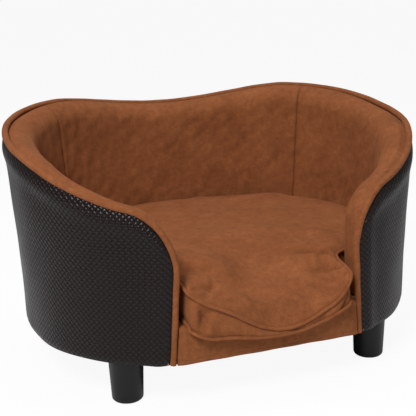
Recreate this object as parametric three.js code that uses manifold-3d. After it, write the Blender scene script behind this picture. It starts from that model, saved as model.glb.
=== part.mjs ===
// A small dog sofa bed: a tub-shaped upholstered wall round a seat platform on four short legs,
// with a loose cushion whose cover closes with a zip.
// Units are millimetres. +Z is up, the open front faces -Y, and the origin is on the floor under
// the middle of the bed. The tub's plan is a superellipse cut open at the front.
import * as THREE from "three";
import { mergeVertices } from "three/addons/utils/BufferGeometryUtils.js";
import Module from "manifold-3d";

const wasm = await Module();
wasm.setup();

// ---- Driving dimensions -------------------------------------------------------------------
const HALF_WIDTH = 345; // outer cover, at the height of the rim
const HALF_DEPTH = 270;
const PLAN_POWER = 2.25; // 2 would be an ellipse
const SIDE_FLARE = 0.045; // share of the half width that the foot of the wall is drawn in
const FLARE_POWER = 1.5;
const FLARE_RISE = 325; // height over the body's foot at which the wall is full width

const LEG_HEIGHT = 75; // floor to the underside of the body
const EDGE_RISE = 147; // height over the body's foot where each front edge starts to round over
const RIM_CORNER_LENGTH = 62; // length of that rounded corner along the wall
const RIM_CORNER_DROP = 80;
// Angle round the plan, and height of the outer cover's top edge over the body's foot. 90 is
// the middle of the back.
const RIM_KNOTS = [
  [-66, 221],
  [-50, 239],
  [-35, 262],
  [-13, 295],
  [48, 331],
  [90, 307],
];
const FRONT_ANGLE = -66; // where the wall ends, above its straight front edges
const FRONT_SPREAD = 0.985; // the front edges stand this much wider at the foot

const COVER_THICK = 1.2;
const PANEL_THICK = 4;
const GAP = 0.3; // between pieces that touch
const THROUGH = 10; // how far a tool for a through hole reaches past it
const EDGE_MARGIN = 3; // the panel and the pad stop this far inside the cover's edges
const BOARD_GAP = 1.2; // between a curved piece and a straight one beside it
const PANEL_CLEARANCE = 0.6; // outer cover to wall panel
const ROLL_RADIUS = 5; // the fat piping along the rim
const ROLL_CLEARANCE = 0.6; // roll to lining
const ROLL_PROUD = 4.5; // its centre, beyond the outer cover's edge
const PAD_DEPTH = 52; // outer cover to lining
const PAD_ROLL = 36; // length over which the pad rolls over at the rim and the front edges
const PAD_PROUD = 7; // how far the pad stands above the cover's edge
const PAD_SEAM_ANGLE = 42; // where the lining of the sides meets that of the back

// How finely the wall's layers are cut: columns round it, how far these crowd towards the front
// edges, the least distance between two of them, and levels over the body's foot.
const WALL_COLUMNS = 44;
const CROWDING = 1.5;
const LEAST_COLUMN = 5;
const WALL_LEVELS = [75, 110, 147, 190, 235];

const BASE_THICK = 9;
const DUST_COVER_THICK = 0.8;
const DUST_COVER_INSET = 1; // inside the wall panel's face
const SEAT_RAIL_HEIGHT = 40;
const SEAT_RAIL_THICK = 15;
const DECK_THICK = 6;
const RAIL_SETBACK = 9; // front edges of the wall to the face of the wooden rail
const RAIL_ROLL_GAP = 5.4; // end of the padded front to the roll beside it
const RAIL_PAD_THICK = 12;
const RAIL_PAD_SHORT = 2; // the padding stops this far inside its cover
const RAIL_COVER_RUN = 46; // how far its cover runs back over the deck
const RAIL_EDGE_RADIUS = 9;
const SIDE_RAIL_SETBACK = 31; // face of the front rail to the front of the side rails
const SIDE_RAIL_OUT = 21; // end of the front rail to the middle of each side rail
const BACK_RAIL_INSET = 75; // outside of the back to the face of the back rail
const BACK_RAIL_OVERLAP = 15; // the back rail runs on past the side rails
const POST_DEPTH = 20;
const POST_RISE = 165; // top of the posts over the body's foot
const POST_LENGTH = 45; // along the wall
const POST_FROM_EDGE = 24; // front edge to post, along the wall
const POST_FROM_SEAM = 6;
const POST_CLEARANCE = 0.5;
const POST_UNDER_RIM = 10; // least depth of a post's top under the rim

const LEG_FROM_SIDE = 135; // outside of the wall to the leg's axis
const LEG_FROM_BACK = 95;
const LEG_TOP_RADIUS = 28;
const LEG_FOOT_RADIUS = 24.5;
const LEG_EDGE = 5; // rounding at the foot
const GLIDE_RADIUS = 17;
const GLIDE_THICK = 3;
const GLIDE_PROUD = 1;
const GLIDE_EDGE = 0.8; // chamfer
const BOLT_RADIUS = 4;
const BOLT_IN_LEG = 28;
const BOLT_TIP = 1; // chamfer
const BORE_SPARE = 2; // depth of the leg's bore under the bolt
const TEE_BARREL_RADIUS = 5.5;
const TEE_FLANGE_RADIUS = 11;
const TEE_FLANGE_THICK = 1.6;

const CUSHION_MIDDLE = 20; // y of the point its rings shrink towards
const CUSHION_REACH = 10; // along the wall, from its front edges to the cushion's shoulders
const CUSHION_SIDE = 62; // height of the cushion's boxing
const CUSHION_CROWN = 14;
const CUSHION_GAP = 9; // between its boxing and the lining
const NECK_CLEARANCE = 14; // half width of the padded front less that of the cushion's neck
const LIP_DEPTH = 16.2; // from the padded front to the cushion's lip
const LIP_CLEARANCE = 1.7; // from the padded front to the back of the lip
const LIP_CURVE = 0.6; // below 1, the top is steepest at the lip
const LIP_RISE = 110; // distance from the lip over which the top rises to full height
// The trough pressed into the middle of the front: first a steep rise behind the lip, then a
// longer one up to full height.
const TROUGH_X = 16; // its middle
const TROUGH_HALF = 62; // half width at which a third of its depth is left
const TROUGH_THICK = 6; // height of its floor over the cushion's underside
const LIP_FALL = 20;
const TROUGH_RUN = 190;
// The sag of the front edge: share of the neck's half width, then the heights of the top seam
// and of the bottom seam over the body's foot.
const LIP_KNOTS = [
  [-1, 109, 53],
  [-0.877, 98, 43],
  [-0.523, 75, 36],
  [-0.131, 46, 28],
  [0.092, 39, 27],
  [0.346, 43, 30],
  [0.608, 56, 38],
  [0.846, 74, 50],
  [1, 103, 59],
];
// The side of the neck: beyond its half width, and behind the back of the lip.
const NECK_STEPS = [
  [3, 55.5],
  [0, 39.5],
  [0, 19.5],
];
// The corner of the lip: inside the neck, and share of the lip's depth.
const LIP_CORNER = [
  [0, 0],
  [1, 0.28],
  [4, 0.72],
  [12, 0.93],
];
const PIPING_RADIUS = 2.5;
const PIPING_DROP = 1; // centre of the top piping under its seam
const PIPING_LIFT = 2.9; // centre of the bottom piping over its seam
const ZIP_Y = 60;
const ZIP_HALF_LENGTH = 180;
const ZIP_END = 6; // the pleat runs on past each end of the zip
const ZIP_GROOVE = 7; // depth of the pleat that hides the zip
const ZIP_GROOVE_WIDTH = 26;
const ZIP_SLOT_WIDTH = 12;
const ZIP_TAPE_WIDTH = 20;
const ZIP_COIL = 4;
const TAPE_THICK = 0.7;
const COIL_THICK = 1.6; // under the tape
const COIL_END = 2; // the coil stops this far inside the zip's slot
const SLIDER_START = 8; // end of the zip to the middle of the closed slider
const SLIDER_LENGTH = 11;
const SLIDER_WIDTH = 8;
const SLIDER_PLATE = 1.2;
const SLIDER_LIP = 1.2;
const SLIDER_CLEARANCE = 0.4; // to the coil and to the tape
const ARCH_LENGTH = 7.2;
const ARCH_WIDTH = 2;
const ARCH_WALL = 1.6;
const ARCH_FOOT = 0.8;
const HINGE_DROP = 1; // the slider's plate to the pull's axis
const PIN_RADIUS = 0.6;
const PIN_CLEARANCE = 0.5;
const PULL_WIDTH = 6.8;
const PULL_ARM = 1.6;
const PULL_LOOP = 9; // axis to the far end of the loop
const PULL_TAB = 6; // axis to the start of the tab
const PULL_LENGTH = 24; // axis to the tip

// ---- Levels and offsets that follow from them --------------------------------------------
const FLARE_TOP = LEG_HEIGHT + FLARE_RISE;
const PANEL_FACE = COVER_THICK + PANEL_CLEARANCE; // offset of the wall panel's outer face
const PANEL_BACK = PANEL_FACE + PANEL_THICK;
const BASE_BOTTOM = LEG_HEIGHT + DUST_COVER_THICK + GAP;
const BASE_TOP = BASE_BOTTOM + BASE_THICK;
const RAIL_TOP = BASE_TOP + GAP + SEAT_RAIL_HEIGHT;
const DECK_BOTTOM = RAIL_TOP + GAP;
const DECK_TOP = DECK_BOTTOM + DECK_THICK;
const RAIL_COVER_TOP = DECK_TOP + 2 * COVER_THICK;
const PAD_BOTTOM = RAIL_COVER_TOP + GAP;
const CUSHION_BOTTOM = RAIL_COVER_TOP + GAP;
const LINING_SEAM = 2 * ROLL_RADIUS + ROLL_CLEARANCE; // offset at which the lining meets the roll
const COVER_ALLOWANCE = COVER_THICK + 2 * GAP; // from a cover's face to the stuffing under it
const POST_FACE = PANEL_BACK + GAP;
const POST_TOP = LEG_HEIGHT + POST_RISE;
const LEG_X = HALF_WIDTH - LEG_FROM_SIDE;
const LEG_Y = HALF_DEPTH - LEG_FROM_BACK;

const parts = new THREE.Group();
parts.name = "dog_sofa_bed";

// ---- Materials -----------------------------------------------------------------------------
const finish = (color, roughness, metalness = 0) =>
  new THREE.MeshStandardMaterial({ color, roughness, metalness });
const WEAVE = finish(0x2b211f, 0.45);
const SUEDE = finish(0x8a5533, 0.95);
const PLY = finish(0xc9a878, 0.7);
const FOAM = finish(0xe8dfc4, 0.9);
const LEG_PLASTIC = finish(0x141416, 0.4);
const FELT = finish(0x2a2a2a, 1);
const STEEL = finish(0xb9bcc0, 0.35, 1);
const NONWOVEN = finish(0x1d1d1f, 0.95);
const ZIP_TAPE = finish(0x6b4128, 0.9);

function addPart(name, geometry, material) {
  const mesh = new THREE.Mesh(geometry, material);
  mesh.name = name;
  parts.add(mesh);
  return mesh;
}

// ---- Closed solids -------------------------------------------------------------------------
// Drops the triangles that have no area because two of their corners coincide.
function withoutSlivers(geometry) {
  const plain = geometry.index ? geometry.toNonIndexed() : geometry.clone();
  plain.deleteAttribute("normal");
  plain.deleteAttribute("uv");
  const merged = mergeVertices(plain, 1e-3);
  const index = merged.index.array;
  const kept = [];
  for (let i = 0; i < index.length; i += 3) {
    const [a, b, c] = index.slice(i, i + 3);
    if (a !== b && b !== c && c !== a) kept.push(a, b, c);
  }
  merged.setIndex(kept);
  return merged;
}

function toSolid(geometry) {
  const merged = withoutSlivers(geometry);
  const mesh = new wasm.Mesh({
    numProp: 3,
    vertProperties: merged.attributes.position.array,
    triVerts: new Uint32Array(merged.index.array),
  });
  return new wasm.Manifold(mesh);
}

function fromSolid(solid) {
  const { vertProperties, triVerts } = solid.getMesh();
  const geometry = new THREE.BufferGeometry();
  geometry.setAttribute("position", new THREE.BufferAttribute(vertProperties.slice(), 3));
  geometry.setIndex(new THREE.BufferAttribute(triVerts.slice(), 1));
  geometry.computeVertexNormals();
  return geometry;
}

const cut = (geometry, ...tools) =>
  fromSolid(tools.reduce((solid, tool) => solid.subtract(toSolid(tool)), toSolid(geometry)));

const joined = (geometry, ...others) =>
  fromSolid(others.reduce((solid, other) => solid.add(toSolid(other)), toSolid(geometry)));

// A closed skin over equal rings of points, each of whose quads is cut along its shorter
// diagonal. The first and last rings are capped as strips between their two halves, or the
// rings close on themselves.
function loft(rings, closed = false) {
  const count = rings[0].length;
  const positions = rings.flat().flatMap((p) => [p.x, p.y, p.z]);
  const index = [];
  const last = closed ? rings.length : rings.length - 1;
  for (let i = 0; i < last; i++) {
    const here = i * count;
    const next = ((i + 1) % rings.length) * count;
    const [ring, ahead] = [rings[i], rings[(i + 1) % rings.length]];
    for (let j = 0; j < count; j++) {
      const k = (j + 1) % count;
      const [a, b, c, d] = [here + j, here + k, next + k, next + j];
      const shorter = ring[j].distanceTo(ahead[k]) < ring[k].distanceTo(ahead[j]);
      if (shorter) index.push(a, c, d, a, b, c);
      else index.push(a, b, d, b, c, d);
    }
  }
  if (!closed) {
    const end = (rings.length - 1) * count;
    for (let j = 0; j < count / 2 - 1; j++) {
      const [a, b, c, d] = [j, j + 1, count - 2 - j, count - 1 - j];
      index.push(a, c, b, a, d, c);
      index.push(end + a, end + b, end + c, end + a, end + c, end + d);
    }
  }
  const geometry = new THREE.BufferGeometry();
  geometry.setAttribute("position", new THREE.Float32BufferAttribute(positions, 3));
  geometry.setIndex(index);
  return withoutSlivers(geometry);
}

// A box given by its corners.
function block(x0, x1, y0, y1, z0, z1) {
  const geometry = new THREE.BoxGeometry(x1 - x0, y1 - y0, z1 - z0);
  return geometry.translate((x0 + x1) / 2, (y0 + y1) / 2, (z0 + z1) / 2);
}

// An upright turned piece from its radius and height pairs, which start and end on the axis.
function turned(profile, x, y, segments = 24) {
  const points = profile.map(([r, z]) => new THREE.Vector2(r, z));
  return new THREE.LatheGeometry(points, segments).rotateX(Math.PI / 2).translate(x, y, 0);
}

// A flat sheet of the given outline between two heights.
function sheet(outline, z0, z1) {
  const shape = new THREE.Shape(outline.map((p) => new THREE.Vector2(p.x, p.y)));
  const options = { depth: z1 - z0, bevelEnabled: false };
  return new THREE.ExtrudeGeometry(shape, options).translate(0, 0, z0);
}

// A section in Y and Z, extruded to both sides of the middle plane.
function crossBar(outline, halfLength) {
  const shape = new THREE.Shape(outline.map(([y, z]) => new THREE.Vector2(y, z)));
  const options = { depth: 2 * halfLength, bevelEnabled: false };
  const bar = new THREE.ExtrudeGeometry(shape, options).translate(0, 0, -halfLength);
  return bar.rotateZ(Math.PI / 2).rotateY(Math.PI / 2);
}

// ---- The tub's wall ------------------------------------------------------------------------
const radians = THREE.MathUtils.degToRad;
const clamp = THREE.MathUtils.clamp;
const lerp = THREE.MathUtils.lerp;
const smoothstep = THREE.MathUtils.smoothstep;

// A point of the wall, `inset` millimetres inside the outer face, at an angle and a height.
function wallAt(angle, z, inset) {
  const rise = clamp((z - LEG_HEIGHT) / FLARE_RISE, 0, 1.1);
  const a = HALF_WIDTH * (1 - SIDE_FLARE * (1 - rise ** FLARE_POWER));
  const b = HALF_DEPTH;
  const [c, s] = [Math.cos(radians(angle)), Math.sin(radians(angle))];
  const x = a * Math.sign(c) * Math.abs(c) ** (2 / PLAN_POWER);
  const y = b * Math.sign(s) * Math.abs(s) ** (2 / PLAN_POWER);
  const nx = (Math.sign(x) * Math.abs(x / a) ** (PLAN_POWER - 1)) / a;
  const ny = (Math.sign(y) * Math.abs(y / b) ** (PLAN_POWER - 1)) / b;
  const length = Math.hypot(nx, ny);
  return new THREE.Vector3(x - (nx / length) * inset, y - (ny / length) * inset, z);
}

// Distance along the outer face from each front edge, tabled against the angle.
const ARC = [];
for (let angle = FRONT_ANGLE - 8; angle <= 90; angle += 0.5) {
  const point = wallAt(angle, FLARE_TOP, 0);
  const before = ARC.at(-1);
  const distance = before ? before.distance + point.distanceTo(before.point) : 0;
  ARC.push({ angle, point, distance });
}
const ARC_START = ARC.find((row) => row.angle >= FRONT_ANGLE).distance;
const HALF_ARC = ARC.at(-1).distance - ARC_START;

function angleAtArc(distance) {
  const wanted = clamp(distance + ARC_START, 0, ARC.at(-1).distance);
  const i = Math.max(1, ARC.findIndex((row) => row.distance >= wanted));
  const [p, q] = [ARC[i - 1], ARC[i]];
  return lerp(p.angle, q.angle, (wanted - p.distance) / (q.distance - p.distance));
}

const arcAtAngle = (angle) => ARC.find((row) => row.angle >= angle).distance - ARC_START;

// A smooth curve through knots of [position, height], level at the last one.
function smoothThrough(knots, position) {
  const slopes = knots.map((knot, i) => {
    if (i === knots.length - 1) return 0;
    const [p, q] = [knots[Math.max(0, i - 1)], knots[i + 1]];
    return (q[1] - p[1]) / (q[0] - p[0]);
  });
  const at = clamp(position, knots[0][0], knots.at(-1)[0]);
  const i = Math.max(1, knots.findIndex((knot) => knot[0] >= at));
  const [[x0, z0], [x1, z1]] = [knots[i - 1], knots[i]];
  const [w, t] = [x1 - x0, (at - x0) / (x1 - x0)];
  const rest = (1 - t) * (1 - t) * (1 + 2 * t) * z0 + t * t * (3 - 2 * t) * z1;
  return rest + w * t * (1 - t) * ((1 - t) * slopes[i - 1] - t * slopes[i]);
}

// Height of the rim, `proud` millimetres outside the outer cover's own edge, at a distance
// along the wall from its nearer front edge.
function rimHeight(distance, proud = 0) {
  const line = LEG_HEIGHT + smoothThrough(RIM_KNOTS, angleAtArc(distance)) + proud;
  const across = clamp((distance + proud) / (RIM_CORNER_LENGTH + proud), 0, 1);
  return line - (RIM_CORNER_DROP + proud) * (1 - Math.sqrt(1 - (1 - across) ** 2));
}

// A point of the wall at a signed distance round it: 0 is the middle of the back, and the
// right-hand front edge is at +HALF_ARC.
function wallPoint(around, z, inset) {
  const spread = lerp(FRONT_SPREAD, 1, clamp((z - LEG_HEIGHT) / EDGE_RISE, 0, 1));
  const turn = (90 - angleAtArc(HALF_ARC - Math.abs(around))) * spread;
  const point = wallAt(90 - turn, z, inset);
  if (around < 0) point.x = -point.x;
  return point;
}

// What stands between the wall's front edges takes its place from them.
const FRONT_EDGE = wallPoint(HALF_ARC, LEG_HEIGHT, 0);
const ROLL_FOOT = wallPoint(HALF_ARC + ROLL_PROUD, LEG_HEIGHT, ROLL_RADIUS);
const FRONT_RAIL_FACE = FRONT_EDGE.y + RAIL_SETBACK; // also of the base board and the deck
const FRONT_FACE = FRONT_RAIL_FACE - GAP - RAIL_PAD_THICK - GAP - COVER_THICK;
const RAIL_HALF_LENGTH = ROLL_FOOT.x - ROLL_RADIUS - RAIL_ROLL_GAP;
const CUSHION_NECK = RAIL_HALF_LENGTH - NECK_CLEARANCE;
const CUSHION_FRONT = FRONT_FACE - LIP_DEPTH;
const LIP_BACK = FRONT_FACE - LIP_CLEARANCE;

const SEAM_PLACE = HALF_ARC - arcAtAngle(PAD_SEAM_ANGLE);
const POSTS = {
  front_post_left: POST_FROM_EDGE - HALF_ARC,
  front_post_right: HALF_ARC - POST_FROM_EDGE - POST_LENGTH,
  back_post_left: -SEAM_PLACE - POST_LENGTH - POST_FROM_SEAM,
  back_post_right: SEAM_PLACE + POST_FROM_SEAM,
};

// The distances round the wall at which every layer has its corners, so that neighbouring
// layers stay parallel: closer together near the front edges.
function sharedPlaces() {
  const spread = (i) => HALF_ARC * Math.sin(lerp(-1, 1, i / WALL_COLUMNS) * CROWDING);
  const even = Array.from({ length: WALL_COLUMNS + 1 }, (_, i) => spread(i));
  const ends = Object.values(POSTS).flatMap((start) => [start, start + POST_LENGTH]);
  const edges = [0, EDGE_MARGIN].flatMap((inside) => [inside - HALF_ARC, HALF_ARC - inside]);
  const fixed = [...ends, ...edges, -SEAM_PLACE, SEAM_PLACE];
  const clear = even.filter((s) => fixed.every((f) => Math.abs(f - s) > LEAST_COLUMN));
  return [...clear, ...fixed].sort((p, q) => p - q);
}
const PLACES = sharedPlaces();

function columns(from, to) {
  const inside = PLACES.filter((place) => place > from + 2 * GAP && place < to - 2 * GAP);
  return [from, ...inside, to];
}

// The heights at which every layer has its corners, between its own foot and top.
const LEVELS = WALL_LEVELS.map((rise) => LEG_HEIGHT + rise);
const heights = (bottom, high) => [bottom, ...LEVELS.map((z) => clamp(z, bottom, high)), high];

const fromFront = (around) => HALF_ARC - Math.abs(around);

// A layer of the wall between two insets, from `bottom` up to `below` under the cover's edge
// or to `top`.
function wallLayer(places, outer, inner, bottom, below, top = Infinity) {
  const rings = places.map((around) => {
    const levels = heights(bottom, Math.min(rimHeight(fromFront(around), -below), top));
    const face = levels.map((z) => wallPoint(around, z, outer));
    const back = levels.map((z) => wallPoint(around, z, inner)).reverse();
    return [...face, ...back];
  });
  return loft(rings);
}

// How full the pad is at a distance from the front edge: it rolls over there as at the rim.
function padFullness(distance) {
  const share = clamp(distance / PAD_ROLL, 0, 1);
  return Math.sqrt(1 - (1 - share) ** 2);
}

// The surface `inset` under the lining's face, from the seam at the rim over the rolled top
// and down to the seat.
function liningLine(around, inset) {
  const seam = LINING_SEAM + inset;
  const full = lerp(seam, PAD_DEPTH - inset, padFullness(fromFront(around)));
  const rim = rimHeight(fromFront(around), PAD_PROUD - inset);
  const roll = [0, 0.3, 0.65, 1].map((share) => {
    const turn = (share * Math.PI) / 2;
    return [rim - PAD_ROLL * (1 - Math.cos(turn)), lerp(seam, full, Math.sin(turn))];
  });
  const foot = rim - PAD_ROLL;
  const wall = [0.4, 0.75, 1].map((share) => [lerp(foot, PAD_BOTTOM, share), full]);
  return [...roll, ...wall].map(([z, offset]) => wallPoint(around, z, offset));
}

function pad(places) {
  const inside = places.map((s) => clamp(s, EDGE_MARGIN - HALF_ARC, HALF_ARC - EDGE_MARGIN));
  const rings = inside.map((around) => {
    const face = liningLine(around, COVER_ALLOWANCE);
    const rim = rimHeight(fromFront(around), -EDGE_MARGIN);
    const back = heights(PAD_BOTTOM, rim).map((z) => wallPoint(around, z, POST_FACE));
    return [...back, ...face];
  });
  return loft(rings);
}

function lining(places) {
  const rings = places.map((around) => {
    const under = liningLine(around, COVER_THICK).reverse();
    return [...under, ...liningLine(around, 0)];
  });
  return loft(rings);
}

// A round cord through the points; `across` gives a direction square to it at each of them.
function cord(points, across, radius, sides, closed) {
  const count = points.length;
  const rings = points.map((point, i) => {
    const before = points[closed ? (i + count - 1) % count : Math.max(0, i - 1)];
    const after = points[closed ? (i + 1) % count : Math.min(count - 1, i + 1)];
    const along = after.clone().sub(before).normalize();
    const side = across[i].clone().cross(along).normalize();
    const up = along.clone().cross(side);
    return Array.from({ length: sides }, (_, j) => {
      const turn = ((j + 0.5) / sides) * 2 * Math.PI;
      const offset = side.clone().multiplyScalar(radius * Math.cos(turn));
      return offset.addScaledVector(up, radius * Math.sin(turn)).add(point);
    });
  });
  return loft(rings, closed);
}

// The roll runs up one front edge, round the rim and down the other.
function rimRoll() {
  const edge = HALF_ARC + ROLL_PROUD;
  const top = rimHeight(-ROLL_PROUD, ROLL_PROUD) - ROLL_RADIUS / 2;
  const uprights = [0, 0.2, 0.4, 0.6, 0.8, 1].map((share) => lerp(LEG_HEIGHT, top, share));
  const places = [
    ...uprights.map((z) => [-edge, z]),
    ...columns(-edge, edge).map((s) => [s, rimHeight(fromFront(s), ROLL_PROUD)]),
    ...uprights.reverse().map((z) => [edge, z]),
  ];
  const points = places.map(([around, z]) => wallPoint(around, z, ROLL_RADIUS));
  const deeper = places.map(([around, z]) => wallPoint(around, z, ROLL_RADIUS + 1));
  const across = deeper.map((point, i) => point.sub(points[i]));
  return cord(points, across, ROLL_RADIUS, 8, false);
}

const WALL_PLACES = columns(-HALF_ARC, HALF_ARC);
const STUFFED_PLACES = columns(EDGE_MARGIN - HALF_ARC, HALF_ARC - EDGE_MARGIN);
const SIDES = {
  left: columns(-HALF_ARC, -SEAM_PLACE - GAP),
  back: columns(GAP - SEAM_PLACE, SEAM_PLACE - GAP),
  right: columns(SEAM_PLACE + GAP, HALF_ARC),
};

addPart("outer_cover", wallLayer(WALL_PLACES, 0, COVER_THICK, LEG_HEIGHT, 0), WEAVE);
const panel = wallLayer(STUFFED_PLACES, PANEL_FACE, PANEL_BACK, BASE_BOTTOM, EDGE_MARGIN);
addPart("wall_panel", panel, PLY);
addPart("rim_roll", rimRoll(), SUEDE);

// ---- Posts inside the wall -----------------------------------------------------------------
function post(start, clearance) {
  const places = columns(start - clearance, start + POST_LENGTH + clearance);
  const depth = POST_FACE + POST_DEPTH + clearance;
  const bottom = BASE_TOP + GAP - clearance;
  const face = POST_FACE - 2 * clearance;
  return wallLayer(places, face, depth, bottom, POST_UNDER_RIM, POST_TOP + clearance);
}

const postSpaces = Object.values(POSTS).map((start) => post(start, POST_CLEARANCE));
for (const [name, start] of Object.entries(POSTS)) addPart(name, post(start, 0), PLY);

for (const [side, places] of Object.entries(SIDES)) {
  addPart(`${side}_foam`, cut(pad(places), ...postSpaces), FOAM);
  addPart(`${side}_lining`, lining(places), SUEDE);
}

// ---- The seat ------------------------------------------------------------------------------
// The outline of a board inside the wall, cut off straight at the front.
function boardOutline(z, inset, front) {
  const edge = WALL_PLACES.map((around) => wallPoint(around, z, inset));
  const kept = edge.filter((point) => point.y > front + 1);
  const end = (a, b) => {
    const share = (front - a.y) / (b.y - a.y);
    return new THREE.Vector3(lerp(a.x, b.x, share), front, z);
  };
  return [end(kept[0], kept[1]), ...kept, end(kept.at(-1), kept.at(-2))].reverse();
}

const board = (z0, z1, inset, front) => sheet(boardOutline(z0, inset, front), z0, z1);

const legPlaces = [];
for (const [row, y] of [["front", -LEG_Y], ["back", LEG_Y]]) {
  for (const [side, x] of [["left", -LEG_X], ["right", LEG_X]]) {
    legPlaces.push({ name: `${row}_${side}`, x, y });
  }
}

// A round tool, or a plain round rod, between two heights.
const rod = (radius, z0, z1, x, y) => turned([[0, z0], [radius, z0], [radius, z1], [0, z1]], x, y);

// The holes for the barrels of the four tee nuts, right through the boards under the seat.
const nutHoles = legPlaces.map(({ x, y }) =>
  rod(TEE_BARREL_RADIUS + GAP, LEG_HEIGHT - THROUGH, BASE_TOP + THROUGH, x, y));

const baseInset = PANEL_BACK + BOARD_GAP;
const base = board(BASE_BOTTOM, BASE_TOP, baseInset, FRONT_RAIL_FACE);
addPart("base_board", cut(base, ...nutHoles), PLY);

const dustInset = PANEL_FACE + DUST_COVER_INSET;
const dust = board(LEG_HEIGHT, LEG_HEIGHT + DUST_COVER_THICK, dustInset, FRONT_RAIL_FACE);
addPart("dust_cover", cut(dust, ...nutHoles), NONWOVEN);

const deck = board(DECK_BOTTOM, DECK_TOP, baseInset, FRONT_RAIL_FACE);
addPart("seat_deck", cut(deck, ...postSpaces), PLY);

function seatRail(name, x0, x1, y0, y1) {
  addPart(name, block(x0, x1, y0, y1, BASE_TOP + GAP, RAIL_TOP), PLY);
}

const RAIL_BACK_FACE = FRONT_RAIL_FACE + SEAT_RAIL_THICK;
const SIDE_RAIL_X = RAIL_HALF_LENGTH + SIDE_RAIL_OUT;
const SIDE_RAIL_FRONT = FRONT_RAIL_FACE + SIDE_RAIL_SETBACK;
const BACK_RAIL_FACE = HALF_DEPTH - BACK_RAIL_INSET;
const BACK_RAIL_HALF = SIDE_RAIL_X + BACK_RAIL_OVERLAP;
seatRail("front_rail", -RAIL_HALF_LENGTH, RAIL_HALF_LENGTH, FRONT_RAIL_FACE, RAIL_BACK_FACE);
seatRail("back_rail", -BACK_RAIL_HALF, BACK_RAIL_HALF, BACK_RAIL_FACE, BACK_RAIL_FACE + SEAT_RAIL_THICK);
const lengthwise = {
  left_rail: [-SIDE_RAIL_X, SIDE_RAIL_FRONT],
  centre_rail: [0, RAIL_BACK_FACE + GAP],
  right_rail: [SIDE_RAIL_X, SIDE_RAIL_FRONT],
};
for (const [name, [x, start]] of Object.entries(lengthwise)) {
  const half = SEAT_RAIL_THICK / 2;
  seatRail(name, x - half, x + half, start, BACK_RAIL_FACE - GAP);
}

// The padding on the front of the rail, and the cover that runs over it and on to the deck:
// y and z of its quarter turn from the front face over the top edge.
function frontCurve(face, top, radius) {
  return [0, 0.25, 0.5, 0.75, 1].map((share) => {
    const turn = (share * Math.PI) / 2;
    return [face + radius * (1 - Math.cos(turn)), top - radius * (1 - Math.sin(turn))];
  });
}

const coverBack = FRONT_RAIL_FACE + RAIL_COVER_RUN;
const coverOuter = frontCurve(FRONT_FACE, RAIL_COVER_TOP, RAIL_EDGE_RADIUS);
const coverInner = frontCurve(
  FRONT_FACE + COVER_THICK, RAIL_COVER_TOP - COVER_THICK, RAIL_EDGE_RADIUS - COVER_THICK);
const coverSection = [
  [FRONT_FACE, LEG_HEIGHT],
  ...coverOuter,
  [coverBack, RAIL_COVER_TOP],
  [coverBack, RAIL_COVER_TOP - COVER_THICK],
  ...coverInner.reverse(),
  [FRONT_FACE + COVER_THICK, LEG_HEIGHT],
];
const padFace = FRONT_FACE + COVER_ALLOWANCE;
const padTop = RAIL_COVER_TOP - COVER_ALLOWANCE;
const padFoot = LEG_HEIGHT + GAP;
const padSection = [
  [padFace, padFoot],
  ...frontCurve(padFace, padTop, RAIL_EDGE_RADIUS - COVER_ALLOWANCE),
  [FRONT_RAIL_FACE - GAP, padTop],
  [FRONT_RAIL_FACE - GAP, padFoot],
];
addPart("front_rail_cover", crossBar(coverSection, RAIL_HALF_LENGTH), SUEDE);
addPart("front_rail_foam", crossBar(padSection, RAIL_HALF_LENGTH - RAIL_PAD_SHORT), FOAM);

// ---- Legs ----------------------------------------------------------------------------------
const LEG_TOP = LEG_HEIGHT - GAP;
const BOLT_FOOT = LEG_TOP - BOLT_IN_LEG;
const BOLT_TOP = BASE_TOP - GAP;
const BOLT_BORE = BOLT_RADIUS + GAP;

// A tapered leg, rounded at the foot, with a bore for its bolt and a seat for its glide.
function leg(x, y) {
  const corner = LEG_EDGE * (1 - Math.SQRT1_2);
  const profile = [
    [0, GLIDE_PROUD],
    [LEG_FOOT_RADIUS - LEG_EDGE, GLIDE_PROUD],
    [LEG_FOOT_RADIUS - corner, GLIDE_PROUD + corner],
    [LEG_FOOT_RADIUS, GLIDE_PROUD + LEG_EDGE],
    [LEG_TOP_RADIUS, LEG_TOP],
    [0, LEG_TOP],
  ];
  const bore = rod(BOLT_BORE, BOLT_FOOT - BORE_SPARE, LEG_TOP + THROUGH, x, y);
  const seat = rod(GLIDE_RADIUS + GAP, -THROUGH, GLIDE_THICK + GAP, x, y);
  return cut(turned(profile, x, y, 32), bore, seat);
}

function glide(x, y) {
  const profile = [
    [0, 0],
    [GLIDE_RADIUS - GLIDE_EDGE, 0],
    [GLIDE_RADIUS, GLIDE_EDGE],
    [GLIDE_RADIUS, GLIDE_THICK],
    [0, GLIDE_THICK],
  ];
  return turned(profile, x, y);
}

function bolt(x, y) {
  const profile = [
    [0, BOLT_FOOT],
    [BOLT_RADIUS - BOLT_TIP, BOLT_FOOT],
    [BOLT_RADIUS, BOLT_FOOT + BOLT_TIP],
    [BOLT_RADIUS, BOLT_TOP],
    [0, BOLT_TOP],
  ];
  return turned(profile, x, y, 16);
}

// A tee nut: its barrel stands in the base board, and its flange lies on top of it.
function teeNut(x, y) {
  const flange = BASE_TOP + GAP;
  const barrel = rod(TEE_BARREL_RADIUS, BASE_BOTTOM + GAP, flange + TEE_FLANGE_THICK, x, y);
  const plate = rod(TEE_FLANGE_RADIUS, flange, flange + TEE_FLANGE_THICK, x, y);
  const thread = rod(BOLT_BORE, BASE_BOTTOM - THROUGH, flange + THROUGH, x, y);
  return cut(joined(barrel, plate), thread);
}

for (const { name, x, y } of legPlaces) {
  addPart(`leg_${name}`, leg(x, y), LEG_PLASTIC);
  addPart(`foot_glide_${name}`, glide(x, y), FELT);
  addPart(`hanger_bolt_${name}`, bolt(x, y), STEEL);
  addPart(`tee_nut_${name}`, teeNut(x, y), STEEL);
}

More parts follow.
